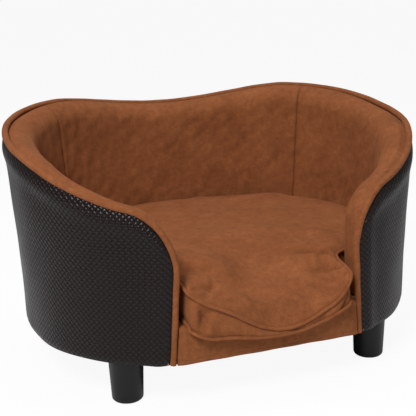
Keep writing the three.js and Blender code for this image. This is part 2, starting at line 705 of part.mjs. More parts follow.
// ---- Cushion -------------------------------------------------------------------------------
const CUSHION_TOP = CUSHION_BOTTOM + CUSHION_SIDE;

// The plan of the cushion, `inset` inside its boxing: round the lining, then in between the
// arms and across the front.
function cushionPlan(inset) {
  const neck = CUSHION_NECK - inset;
  const front = CUSHION_FRONT + inset;
  const offset = PAD_DEPTH + CUSHION_GAP + inset;
  const round = columns(CUSHION_REACH - HALF_ARC, HALF_ARC - CUSHION_REACH).reverse();
  const wall = round.map((around) => wallPoint(around, CUSHION_BOTTOM, offset));
  const side = NECK_STEPS.map(([beyond, behind]) => [neck + beyond, LIP_BACK + behind]);
  const corner = LIP_CORNER.map(([inside, share]) => [
    neck - inside,
    lerp(LIP_BACK - inset, front, share),
  ]);
  const across = [0.78, 0.66, 0.5, 0.33, 0.17].map((share) => [share * neck, front]);
  const right = [...side, ...corner, ...across];
  const left = right.map(([x, y]) => [-x, y]);
  const flat = [...left, [0, front], ...right.reverse()];
  return [...flat.map(([x, y]) => new THREE.Vector3(x, y, 0)), ...wall];
}

function lipAt(x, column) {
  const knots = LIP_KNOTS.map((knot) => [knot[0], knot[column]]);
  return LEG_HEIGHT + smoothThrough(knots, x / CUSHION_NECK);
}

// Height of the top seam, and of the slope of the top behind the front edge.
function topSeam(p) {
  const low = lipAt(p.x, 1);
  const floor = CUSHION_BOTTOM + TROUGH_THICK;
  const back = p.y - CUSHION_FRONT;
  const bank = lerp(low, CUSHION_TOP, clamp(back / LIP_RISE, 0, 1) ** LIP_CURVE);
  const behindLip = lerp(low, floor, smoothstep(back, 0, LIP_FALL));
  const rise = smoothstep(back, LIP_FALL, LIP_FALL + TROUGH_RUN);
  const trough = behindLip + (CUSHION_TOP - floor) * rise;
  return lerp(bank, trough, Math.exp(-(((p.x - TROUGH_X) / TROUGH_HALF) ** 2)));
}

function bottomSeam(p, step = LIP_BACK) {
  return p.y < step - 0.01 ? Math.min(lipAt(p.x, 2), CUSHION_BOTTOM) : CUSHION_BOTTOM;
}

// A closed cushion, `inset` inside the outer face of the cover.
function cushionBody(inset) {
  const plan = cushionPlan(inset);
  const shrunk = (p, share) => {
    const y = lerp(CUSHION_MIDDLE, p.y, share);
    return new THREE.Vector3(p.x * share, y, 0);
  };
  const step = LIP_BACK - inset;
  const under = (share, drooping) =>
    plan.map((p) => {
      const q = shrunk(p, share);
      if (p.y <= step) q.y = step;
      const low = drooping ? bottomSeam(p, step) : CUSHION_BOTTOM;
      return q.setZ(low + inset);
    });
  const over = (share) =>
    plan.map((p) => {
      const q = shrunk(p, share);
      return q.setZ(topSeam(q) + CUSHION_CROWN * Math.sqrt(1 - share ** 6) - inset);
    });
  const rings = [
    under(0, false),
    under(0.5, false),
    under(0.985, false),
    under(0.985, true),
    plan.map((p) => p.clone().setZ(bottomSeam(p, step) + inset)),
    plan.map((p) => p.clone().setZ(topSeam(p) - inset)),
    over(0.975),
    over(0.93),
    over(0.86),
    over(0.72),
    over(0.5),
    over(0),
  ];
  return loft(rings);
}

const coverPlan = cushionPlan(0);
const grooveX = ZIP_HALF_LENGTH + ZIP_END;
const grooveHalf = ZIP_GROOVE_WIDTH / 2;
const grooveTop = CUSHION_BOTTOM + ZIP_GROOVE;

// The pleat in the underside that hides the zip, grown by a margin.
function zipGroove(margin) {
  const [x, y] = [grooveX + margin, grooveHalf + margin];
  return block(-x, x, ZIP_Y - y, ZIP_Y + y, CUSHION_BOTTOM - THROUGH, grooveTop + margin);
}

const slotHalf = ZIP_SLOT_WIDTH / 2;
const slotTop = grooveTop + COVER_THICK + COVER_ALLOWANCE;
const zipSlot = block(
  -ZIP_HALF_LENGTH, ZIP_HALF_LENGTH, ZIP_Y - slotHalf, ZIP_Y + slotHalf,
  CUSHION_BOTTOM - THROUGH, slotTop);
const coverHollow = cut(cushionBody(COVER_THICK), zipGroove(COVER_THICK));
const cushionCover = cut(cushionBody(0), zipGroove(0), coverHollow, zipSlot);
addPart("cushion_cover", cushionCover, SUEDE);
const fillGroove = zipGroove(COVER_ALLOWANCE + TAPE_THICK + GAP);
addPart("cushion_fill", cut(cushionBody(COVER_ALLOWANCE), fillGroove), FOAM);

// Piping along a seam of the cushion, just outside the boxing.
function seamPiping(seam, lift) {
  const count = coverPlan.length;
  const points = coverPlan.map((p, i) => {
    const along = coverPlan[(i + 1) % count].clone().sub(coverPlan[(i + count - 1) % count]);
    const outward = new THREE.Vector3(along.y, -along.x, 0).normalize();
    return p.clone().addScaledVector(outward, PIPING_RADIUS + GAP).setZ(seam(p) + lift);
  });
  const across = points.map(() => new THREE.Vector3(0, 0, 1));
  return cord(points, across, PIPING_RADIUS, 6, true);
}

addPart("cushion_top_piping", seamPiping(topSeam, -PIPING_DROP), SUEDE);
addPart("cushion_bottom_piping", seamPiping((p) => bottomSeam(p), PIPING_LIFT), SUEDE);

// ---- Zip in the cushion's underside --------------------------------------------------------
const tapeBottom = grooveTop + COVER_THICK + GAP;
const tapeHalf = ZIP_TAPE_WIDTH / 2;
const tapeTop = tapeBottom + TAPE_THICK;
const coilHalf = ZIP_COIL / 2;
const coilX = ZIP_HALF_LENGTH - COIL_END;
const coilBottom = tapeBottom - COIL_THICK;
const tape = block(-grooveX, grooveX, ZIP_Y - tapeHalf, ZIP_Y + tapeHalf, tapeBottom, tapeTop);
const coil = block(-coilX, coilX, ZIP_Y - coilHalf, ZIP_Y + coilHalf, coilBottom, tapeTop);
addPart("zip_tape", joined(tape, coil), ZIP_TAPE);

const sliderX = SLIDER_START - ZIP_HALF_LENGTH;
const plateTop = coilBottom - SLIDER_CLEARANCE;
const plateBottom = plateTop - SLIDER_PLATE;
const hingeZ = plateBottom - HINGE_DROP;

// A block about the zip's middle line, given from the slider's own place.
const atZip = (x0, x1, y, halfY, z0, z1) =>
  block(sliderX + x0, sliderX + x1, ZIP_Y + y - halfY, ZIP_Y + y + halfY, z0, z1);

// The slider is a channel round the coil, with a small arch below it for the pull.
function zipSlider() {
  const [half, wide] = [SLIDER_LENGTH / 2, SLIDER_WIDTH / 2];
  const lipY = wide - SLIDER_LIP / 2;
  const plate = atZip(-half, half, 0, wide, plateBottom, plateTop);
  const lips = [-lipY, lipY].map((y) => {
    return atZip(-half, half, y, SLIDER_LIP / 2, plateBottom, tapeBottom - SLIDER_CLEARANCE);
  });
  const [archHalf, eyeHalf] = [ARCH_LENGTH / 2, ARCH_LENGTH / 2 - ARCH_WALL];
  const eyeFoot = hingeZ - PIN_RADIUS - PIN_CLEARANCE;
  const arch = atZip(-archHalf, archHalf, 0, ARCH_WIDTH / 2, eyeFoot - ARCH_FOOT, plateTop);
  const eye = atZip(-eyeHalf, eyeHalf, 0, ARCH_WIDTH, eyeFoot, plateBottom);
  return joined(cut(arch, eye), plate, ...lips);
}

// The pull is a small loop whose round cross pin passes through the slider's arch.
function zipPull() {
  const half = PULL_WIDTH / 2;
  const armY = half - PULL_ARM / 2;
  const [low, high] = [hingeZ - PIN_RADIUS, hingeZ + PIN_RADIUS];
  const pin = new THREE.CylinderGeometry(PIN_RADIUS, PIN_RADIUS, PULL_WIDTH, 16);
  const arms = [-armY, armY].map((y) => atZip(0, PULL_LOOP, y, PULL_ARM / 2, low, high));
  const tab = atZip(PULL_TAB, PULL_LENGTH, 0, half, low, high);
  return joined(pin.translate(sliderX, ZIP_Y, hingeZ), ...arms, tab);
}

addPart("zip_slider", zipSlider(), STEEL);
addPart("zip_pull", zipPull(), STEEL);

// ---- Origin under the middle of the whole bed ----------------------------------------------
const bounds = new THREE.Box3().setFromObject(parts);
const middle = bounds.getCenter(new THREE.Vector3());
for (const mesh of parts.children) mesh.geometry.translate(-middle.x, -middle.y, -bounds.min.z);

export default parts;
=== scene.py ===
"""Visual model of a small dog sofa bed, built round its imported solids.

The bed is a padded tub, open at the front, that stands on four short legs. A loose cushion with
a zipped cover lies inside it and hangs a little over the front rail. All lengths are in metres,
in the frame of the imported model: +Z is up and the open front faces -Y.
"""

import logging
import math
from dataclasses import dataclass, field
from enum import Enum

import bmesh
import bpy
import numpy as np
from mathutils import Matrix, Vector


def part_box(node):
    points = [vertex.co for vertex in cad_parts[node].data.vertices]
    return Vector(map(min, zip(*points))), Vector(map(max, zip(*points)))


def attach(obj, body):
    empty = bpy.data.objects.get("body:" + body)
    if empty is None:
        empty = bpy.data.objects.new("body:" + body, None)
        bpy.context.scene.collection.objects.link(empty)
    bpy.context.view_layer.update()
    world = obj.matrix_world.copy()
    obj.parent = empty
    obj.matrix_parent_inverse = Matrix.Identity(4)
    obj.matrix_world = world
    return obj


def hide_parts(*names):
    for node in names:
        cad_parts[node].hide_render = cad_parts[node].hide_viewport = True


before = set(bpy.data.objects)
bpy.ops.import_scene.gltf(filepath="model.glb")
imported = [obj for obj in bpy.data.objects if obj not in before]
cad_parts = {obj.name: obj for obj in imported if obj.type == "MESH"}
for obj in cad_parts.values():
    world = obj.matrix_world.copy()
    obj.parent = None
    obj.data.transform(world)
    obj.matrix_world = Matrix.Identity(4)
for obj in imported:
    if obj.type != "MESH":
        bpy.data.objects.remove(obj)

LOG = logging.getLogger("dog_sofa_bed")
MM = 0.001
Array = np.ndarray
SOCKET = bpy.types.NodeSocket


# ---------------------------------------------------------------------------------------------
# Finishes
# ---------------------------------------------------------------------------------------------
def linear(hex_colour: str) -> tuple[float, float, float, float]:
    """Turns an sRGB colour such as "8A5533" into linear red, green, blue and alpha.

    Args:
        hex_colour: six hexadecimal digits.

    Returns:
        The four linear components.
    """
    parts = [int(hex_colour[i : i + 2], 16) / 255 for i in (0, 2, 4)]
    bent = [c / 12.92 if c <= 0.04045 else ((c + 0.055) / 1.055) ** 2.4 for c in parts]
    return (*bent, 1.0)


def add_node(
    tree: bpy.types.NodeTree, kind: str, inputs: dict | None = None, **settings: object
) -> bpy.types.Node:
    """Adds one node, sets its properties, and fills or links its inputs.

    Args:
        tree: the node tree that takes the node.
        kind: the node's type, without its "ShaderNode" prefix.
        inputs: values or output sockets, by input name or number.
        **settings: properties of the node.

    Returns:
        The new node.
    """
    node = tree.nodes.new("ShaderNode" + kind)
    for name, value in settings.items():
        setattr(node, name, value)
    for key, value in (inputs or {}).items():
        if isinstance(value, SOCKET):
            tree.links.new(value, node.inputs[key])
        else:
            node.inputs[key].default_value = value
    return node


def new_tree(name: str) -> tuple[bpy.types.Material, bpy.types.NodeTree]:
    """Makes an empty node material.

    Args:
        name: the material's name.

    Returns:
        The material and its cleared node tree.
    """
    material = bpy.data.materials.new(name)
    material.use_nodes = True
    material.node_tree.nodes.clear()
    return material, material.node_tree


def close_tree(tree: bpy.types.NodeTree, inputs: dict) -> None:
    """Adds the surface shader and the output.

    Args:
        tree: the material's node tree.
        inputs: values and sockets for the Principled shader.
    """
    shader = add_node(tree, "BsdfPrincipled", inputs)
    add_node(tree, "OutputMaterial", {"Surface": shader.outputs[0]})


@dataclass(frozen=True)
class Microsuede:
    """Polyester microsuede, woven and brushed: its nap lies in soft patches, light and dark."""

    name: str = "microsuede_brushed"
    deep: str = "6D3C1E"
    body: str = "814A28"
    brushed: str = "955B36"
    patch_mm: float = 60.0  # patches of nap that lean the same way
    streak_mm: float = 9.0
    pile_mm: float = 1.3  # coarser than the real pile, so that it shows
    roughness: float = 0.92
    sheen: float = 0.2
    pile_bump_mm: float = 0.25
    crumple_mm: float = 24.0

    def build(self) -> bpy.types.Material:
        """Builds the material."""
        material, tree = new_tree(self.name)
        place = add_node(tree, "TexCoord").outputs["Object"]
        noise = {"Vector": place, "Detail": 4.0, "Roughness": 0.6}
        patch = add_node(tree, "TexNoise", noise | {"Scale": 1000 / self.patch_mm, "Distortion": 0.6})
        streak = add_node(tree, "TexNoise", noise | {"Scale": 1000 / self.streak_mm})
        pile = add_node(tree, "TexNoise", noise | {"Scale": 1000 / self.pile_mm, "Detail": 2.0})
        soft = add_node(
            tree, "Mix", {0: 0.5, 2: patch.outputs["Fac"], 3: streak.outputs["Fac"]}, data_type="FLOAT"
        )
        mixed = add_node(
            tree, "Mix", {0: 0.4, 2: soft.outputs[0], 3: pile.outputs["Fac"]}, data_type="FLOAT"
        )
        ramp = add_node(tree, "ValToRGB", {0: mixed.outputs[0]})
        ramp.color_ramp.elements[0].position = 0.36
        ramp.color_ramp.elements[0].color = linear(self.deep)
        ramp.color_ramp.elements[1].position = 0.66
        ramp.color_ramp.elements[1].color = linear(self.brushed)
        ramp.color_ramp.elements.new(0.5).color = linear(self.body)
        crumple = add_node(tree, "TexNoise", noise | {"Scale": 1000 / self.crumple_mm, "Detail": 3.0})
        folds = add_node(
            tree, "Bump", {"Height": crumple.outputs["Fac"], "Strength": 0.35, "Distance": 2.2 * MM}
        )
        nap = add_node(
            tree,
            "Bump",
            {
                "Height": pile.outputs["Fac"],
                "Strength": 0.6,
                "Distance": self.pile_bump_mm * MM,
                "Normal": folds.outputs[0],
            },
        )
        close_tree(
            tree,
            {
                "Base Color": ramp.outputs[0],
                "Roughness": self.roughness,
                "Specular IOR Level": 0.25,
                "Sheen Weight": self.sheen,
                "Sheen Roughness": 0.45,
                "Sheen Tint": linear("C98A5C"),
                "Normal": nap.outputs[0],
            },
        )
        return material


@dataclass(frozen=True)
class WovenLeatherette:
    """PU leatherette, embossed with a diagonal basket weave: each strand's crown catches light; painted shade
    darkens the grooves.
    """

    name: str = "pu_leatherette_basket_embossed"
    strand: str = "1D1413"
    # Groove colour: darker than the strands, as painted shade in the weave's recesses.
    groove: str = "080504"
    strand_mm: float = 6.6
    relief_mm: float = 1.3
    grain_mm: float = 1.1
    roughness: float = 0.27

    def build(self) -> bpy.types.Material:
        """Builds the material. Its pattern follows the "cloth" map, which is in metres."""
        material, tree = new_tree(self.name)
        flat = add_node(tree, "UVMap", uv_map="cloth").outputs[0]
        turned = add_node(
            tree,
            "VectorRotate",
            {"Vector": flat, "Angle": math.radians(45)},
            rotation_type="Z_AXIS",
        )
        scaled = add_node(
            tree, "VectorMath", {0: turned.outputs[0], "Scale": 1000 / self.strand_mm}, operation="SCALE"
        )
        cell = add_node(tree, "VectorMath", {0: scaled.outputs[0]}, operation="FLOOR")
        inside = add_node(tree, "VectorMath", {0: scaled.outputs[0]}, operation="FRACTION")
        number = add_node(tree, "SeparateXYZ", {0: cell.outputs[0]})
        local = add_node(tree, "SeparateXYZ", {0: inside.outputs[0]})
        total = add_node(tree, "Math", {0: number.outputs[0], 1: number.outputs[1]}, operation="ADD")
        parity = add_node(tree, "Math", {0: total.outputs[0], 1: 2.0}, operation="FLOORED_MODULO")

        def crown(socket: SOCKET, power: float) -> SOCKET:
            """Returns a profile that rises to 1 in the middle of a cell.

            Args:
                socket: a place across the cell, from 0 to 1.
                power: exponent of the profile: a smaller one is flatter in the middle.

            Returns:
                The socket that carries the profile.
            """
            centred = add_node(tree, "Math", {0: socket, 1: 2.0, 2: -1.0}, operation="MULTIPLY_ADD")
            squared = add_node(tree, "Math", {0: centred.outputs[0], 1: 2.0}, operation="POWER")
            under = add_node(tree, "Math", {0: 1.0, 1: squared.outputs[0]}, operation="SUBTRACT")
            return add_node(tree, "Math", {0: under.outputs[0], 1: power}, operation="POWER").outputs[0]

        strands = []
        for across, along in ((0, 1), (1, 0)):
            parts = {0: crown(local.outputs[across], 0.55), 1: crown(local.outputs[along], 0.22)}
            strands.append(add_node(tree, "Math", parts, operation="MULTIPLY").outputs[0])
        height = add_node(
            tree, "Mix", {0: parity.outputs[0], 2: strands[0], 3: strands[1]}, data_type="FLOAT"
        )
        place = add_node(tree, "TexCoord").outputs["Object"]
        grain = add_node(
            tree, "TexNoise", {"Vector": place, "Scale": 1000 / self.grain_mm, "Detail": 3.0}
        )
        cloud = add_node(tree, "TexNoise", {"Vector": place, "Scale": 9.0, "Detail": 4.0})
        # Colour runs from the groove colour up to the strand colour with the relief's height: painted shade
        # in the grooves.
        colour = add_node(
            tree,
            "Mix",
            {0: height.outputs[0], 6: linear(self.groove), 7: linear(self.strand)},
            data_type="RGBA",
        )
        worn = add_node(
            tree, "MapRange", {0: cloud.outputs["Fac"], 1: 0.3, 2: 0.75, 3: -0.06, 4: 0.12}
        )
        rough = add_node(
            tree, "MapRange",
            {0: height.outputs[0], 1: 0.0, 2: 1.0, 3: self.roughness + 0.25, 4: self.roughness}
        )
        rough = add_node(tree, "Math", {0: rough.outputs[0], 1: worn.outputs[0]}, operation="ADD")
        weave = add_node(
            tree,
            "Bump",
            {"Height": height.outputs[0], "Strength": 1.0, "Distance": self.relief_mm * MM},
        )
        skin = add_node(
            tree,
            "Bump",
            {
                "Height": grain.outputs["Fac"],
                "Strength": 0.3,
                "Distance": 0.12 * MM,
                "Normal": weave.outputs[0],
            },
        )
        close_tree(
            tree,
            {
                "Base Color": colour.outputs[2],
                "Roughness": rough.outputs[0],
                "IOR": 1.5,
                "Specular IOR Level": 0.2,
                "Normal": skin.outputs[0],
            },
        )
        return material


@dataclass(frozen=True)
class Grained:
    """A plain finish whose colour and relief vary with a grain, which may be drawn out one way."""

    name: str
    light: str
    dark: str
    grain_mm: float
    stretch: tuple[float, float, float] = (1.0, 1.0, 1.0)
    roughness: float = 0.6
    metallic: float = 0.0
    relief_mm: float = 0.1
    coat: float = 0.0
    spread: float = 0.12
    shine: float = 0.5

    def build(self) -> bpy.types.Material:
        """Builds the material."""
        material, tree = new_tree(self.name)
        place = add_node(tree, "TexCoord").outputs["Object"]
        mapped = add_node(tree, "Mapping", {"Vector": place, "Scale": self.stretch})
        grain = add_node(
            tree,
            "TexNoise",
            {"Vector": mapped.outputs[0], "Scale": 1000 / self.grain_mm, "Detail": 5.0, "Roughness": 0.65},
        )
        ramp = add_node(tree, "ValToRGB", {0: grain.outputs["Fac"]})
        for element, place_at, colour in zip(
            ramp.color_ramp.elements,
            (0.5 - 1.5 * self.spread, 0.5 + 1.5 * self.spread),
            (self.dark, self.light)
        ):
            element.position = place_at
            element.color = linear(colour)
        rough = add_node(
            tree,
            "MapRange",
            {0: grain.outputs["Fac"], 1: 0.3, 2: 0.7, 3: self.roughness - 0.06, 4: self.roughness + 0.06},
        )
        bump = add_node(
            tree,
            "Bump",
            {"Height": grain.outputs["Fac"], "Strength": 0.5, "Distance": self.relief_mm * MM},
        )
        close_tree(
            tree,
            {
                "Base Color": ramp.outputs[0],
                "Roughness": rough.outputs[0],
                "Metallic": self.metallic,
                "Specular IOR Level": self.shine,
                "Coat Weight": self.coat,
                "Coat Roughness": 0.2,
                "Normal": bump.outputs[0],
            },
        )
        return material


# Birch plywood, rotary cut: pale, with grain drawn out along the sheet.
PLYWOOD = Grained("birch_plywood_sanded", "D2B384", "B48E5E", 9.0, (0.12, 1.0, 1.0), 0.62, 0.0, 0.15)
# Open-cell polyurethane foam, cut with a hot wire: matt and finely pitted.
FOAM = Grained("polyurethane_foam_cut", "EDE3C6", "D8CBA6", 1.6, (1.0, 1.0, 1.0), 0.95, 0.0, 0.5)
# Polypropylene, injection moulded with a fine spark texture: black with a soft shine.
LEG_PLASTIC = Grained(
    "polypropylene_moulded", "131314", "0C0C0D", 0.9, (1.0, 1.0, 1.0), 0.38, 0.0, 0.06, 0.0, 0.12, 0.3)
# Pressed wool felt: fibres with no shine.
FELT = Grained("wool_felt_pressed", "34322F", "1E1D1B", 1.2, (1.0, 1.0, 1.0), 0.97, 0.0, 0.4)
# Mild steel, zinc plated: cloudy grey metal.
ZINC = Grained("steel_zinc_plated", "C9CBCC", "A3A6A8", 3.0, (1.0, 1.0, 1.0), 0.36, 1.0, 0.03)
# Spun-bonded polypropylene: thin dull sheet with an embossed speckle.
NONWOVEN = Grained("polypropylene_spunbonded", "2B2B2D", "151517", 1.5, (1.0, 1.0, 1.0), 0.93, 0.0, 0.3)
# Polyester zip tape, woven in a fine herringbone.
TAPE = Grained("polyester_tape_woven", "6E452B", "4B2C18", 1.0, (1.0, 3.0, 1.0), 0.85, 0.0, 0.2)
# Zinc alloy, die cast and lacquered brown: a dark metal with worn, brighter spots.
LACQUERED = Grained("zinc_alloy_lacquered", "6B4A36", "3B261A", 2.0, (1.0, 1.0, 1.0), 0.42, 0.6, 0.04, 0.3)


# ---------------------------------------------------------------------------------------------
# Meshes
# ---------------------------------------------------------------------------------------------
def unit(rows: Array) -> Array:
    """Scales each row vector to length 1."""
    return rows / np.maximum(np.linalg.norm(rows, axis=-1, keepdims=True), 1e-12)


def smoothstep(low: float, high: float, value: Array) -> Array:
    """Rises from 0 at low to 1 at high with level ends."""
    share = np.clip((value - low) / (high - low), 0, 1)
    return share * share * (3 - 2 * share)


def ripple(u: Array, v: Array, wave: float, seed: int, terms: int = 7) -> Array:
    """A smooth random surface of about unit height, from waves in many directions.

    Args:
        u: first coordinate.
        v: second coordinate, of the same shape.
        wave: the middle wavelength, in the unit of u and v.
        seed: number that fixes the waves.
        terms: how many waves are added.

    Returns:
        The height at each point.
    """
    draw = np.random.default_rng(seed)
    total = np.zeros_like(u)
    for _ in range(terms):
        turn, shift = draw.uniform(0, math.tau, 2)
        length = wave * draw.uniform(0.6, 1.7)
        total += np.sin(math.tau * (u * math.cos(turn) + v * math.sin(turn)) / length + shift)
    return total / math.sqrt(terms)


def make_mesh(
    name: str, vertices: Array, faces: list | Array, material: bpy.types.Material, uv: Array | None = None
) -> bpy.types.Object:
    """Makes a smooth-shaded object with outward faces.

    Args:
        name: the piece's name.
        vertices: N by 3 positions.
        faces: rows of vertex numbers.
        material: its finish.
        uv: N by 2 flat positions in metres for the "cloth" map, or None.

    Returns:
        The new object, linked to the scene.
    """
    mesh = bpy.data.meshes.new(name)
    mesh.from_pydata(vertices.tolist(), [], [list(map(int, f)) for f in faces])
    if uv is not None:
        layer = mesh.uv_layers.new(name="cloth")
        corners = np.empty(len(mesh.loops), np.int32)
        mesh.loops.foreach_get("vertex_index", corners)
        layer.data.foreach_set("uv", uv[corners].astype(np.float32).ravel())
    work = bmesh.new()
    work.from_mesh(mesh)
    bmesh.ops.recalc_face_normals(work, faces=work.faces)
    work.to_mesh(mesh)
    work.free()
    mesh.polygons.foreach_set("use_smooth", np.ones(len(mesh.polygons), bool))
    mesh.materials.append(material)
    made = bpy.data.objects.new(name, mesh)
    bpy.context.scene.collection.objects.link(made)
    return made


def quads(rows: int, columns: int, close_rows: bool = False, close_columns: bool = False) -> Array:
    """Faces of a grid whose vertices are numbered row by row.

    Args:
        rows: rows of vertices.
        columns: vertices in each row.
        close_rows: joins the last row to the first.
        close_columns: joins each row's ends.

    Returns:
        One row of four vertex numbers for each face.
    """
    r = np.arange(rows if close_rows else rows - 1)
    c = np.arange(columns if close_columns else columns - 1)
    a = (r[:, None] * columns + c[None, :]).ravel()
    r2, c2 = (r + 1) % rows, (c + 1) % columns
    b = (r[:, None] * columns + c2[None, :]).ravel()
    d = (r2[:, None] * columns + c[None, :]).ravel()
    e = (r2[:, None] * columns + c2[None, :]).ravel()
    return np.stack([a, b, e, d], 1)


def slab(
    name: str, face: Array, back: Array, material: bpy.types.Material, uv: Array | None = None
) -> bpy.types.Object:
    """A closed body between two grids of the same size, joined round their borders.

    Args:
        name: the piece's name.
        face: rows by columns by 3 positions of the seen side.
        back: the same for the hidden side.
        material: its finish.
        uv: rows by columns by 2 flat positions, or None.

    Returns:
        The new object.
    """
    rows, columns, _ = face.shape
    grid = quads(rows, columns)
    behind = rows * columns
    edge = (
        [i for i in range(columns)]
        + [r * columns + columns - 1 for r in range(1, rows)]
        + [(rows - 1) * columns + c for c in range(columns - 2, -1, -1)]
        + [r * columns for r in range(rows - 2, 0, -1)]
    )
    rim = [[a, b, b + behind, a + behind] for a, b in zip(edge, edge[1:] + edge[:1])]
    faces = np.concatenate([grid, grid[:, ::-1] + behind, np.array(rim)])
    vertices = np.concatenate([face.reshape(-1, 3), back.reshape(-1, 3)])
    flat = None if uv is None else np.concatenate([uv.reshape(-1, 2)] * 2)
    return make_mesh(name, vertices, faces, material, flat)


def strand(
    name: str, line: Array, across: Array, section: Array, material: bpy.types.Material, closed: bool = False
) -> bpy.types.Object:
    """Sweeps a section along a line.

    Args:
        name: the piece's name.
        line: N by 3 positions.
        across: N by 3 directions, roughly square to the line, that the section's x follows.
        section: M by 2 outline, or N by M by 2 where it changes along the line.
        material: its finish.
        closed: whether the line closes on itself.

    Returns:
        The new object.
    """
    if closed:
        along = unit(np.roll(line, -1, 0) - np.roll(line, 1, 0))
    else:
        along = unit(np.gradient(line, axis=0))
    side = unit(across - along * np.sum(across * along, 1, keepdims=True))
    up = np.cross(side, along)
    shape = np.broadcast_to(section, (len(line), *section.shape[-2:]))
    ring = line[:, None] + shape[..., :1] * side[:, None] + shape[..., 1:] * up[:, None]
    count = ring.shape[1]
    faces = quads(len(line), count, closed, True).tolist()
    if not closed:
        last = (len(line) - 1) * count
        faces += [list(range(count))[::-1], list(range(last, last + count))]
    return make_mesh(name, ring.reshape(-1, 3), faces, material)


def ellipse(width: float, height: float, count: int, power: float = 2.0) -> Array:
    """Outline of a superellipse with that full width and height.

    Args:
        width: full width in metres.
        height: full height in metres.
        count: number of points.
        power: 2 is an ellipse, more is squarer.

    Returns:
        Count by 2 points.
    """
    t = np.linspace(0, math.tau, count, endpoint=False)
    c, s = np.cos(t), np.sin(t)
    bend = 2 / power
    x = np.sign(c) * np.abs(c) ** bend * width / 2
    return np.stack([x, np.sign(s) * np.abs(s) ** bend * height / 2], 1)


def turned(
    name: str, profile: list[tuple[float, float]], centre: tuple[float, float], material: bpy.types.Material
) -> bpy.types.Object:
    """A piece turned about an upright axis, from radius and height pairs that start and end on it.

    Args:
        name: the piece's name.
        profile: radius and height of each point, in metres, from one end of the axis to the other.
        centre: x and y of the axis.
        material: the finish given to the mesh.

    Returns:
        The turned piece.
    """
    steps = 96
    t = np.linspace(0, math.tau, steps, endpoint=False)
    radii, heights = np.array(profile[1:-1]).T
    x = centre[0] + np.cos(t)[:, None] * radii
    y = centre[1] + np.sin(t)[:, None] * radii
    z = np.broadcast_to(heights, x.shape)
    vertices = np.stack([x, y, z], 2).reshape(-1, 3)
    ends = np.array([[*centre, profile[0][1]], [*centre, profile[-1][1]]])
    rows = len(radii)
    faces = quads(steps, rows, True).tolist()
    first, last = len(vertices), len(vertices) + 1
    for i in range(steps):
        k = (i + 1) % steps
        faces += [[first, i * rows, k * rows], [last, k * rows + rows - 1, i * rows + rows - 1]]
    return make_mesh(name, np.concatenate([vertices, ends]), faces, material)


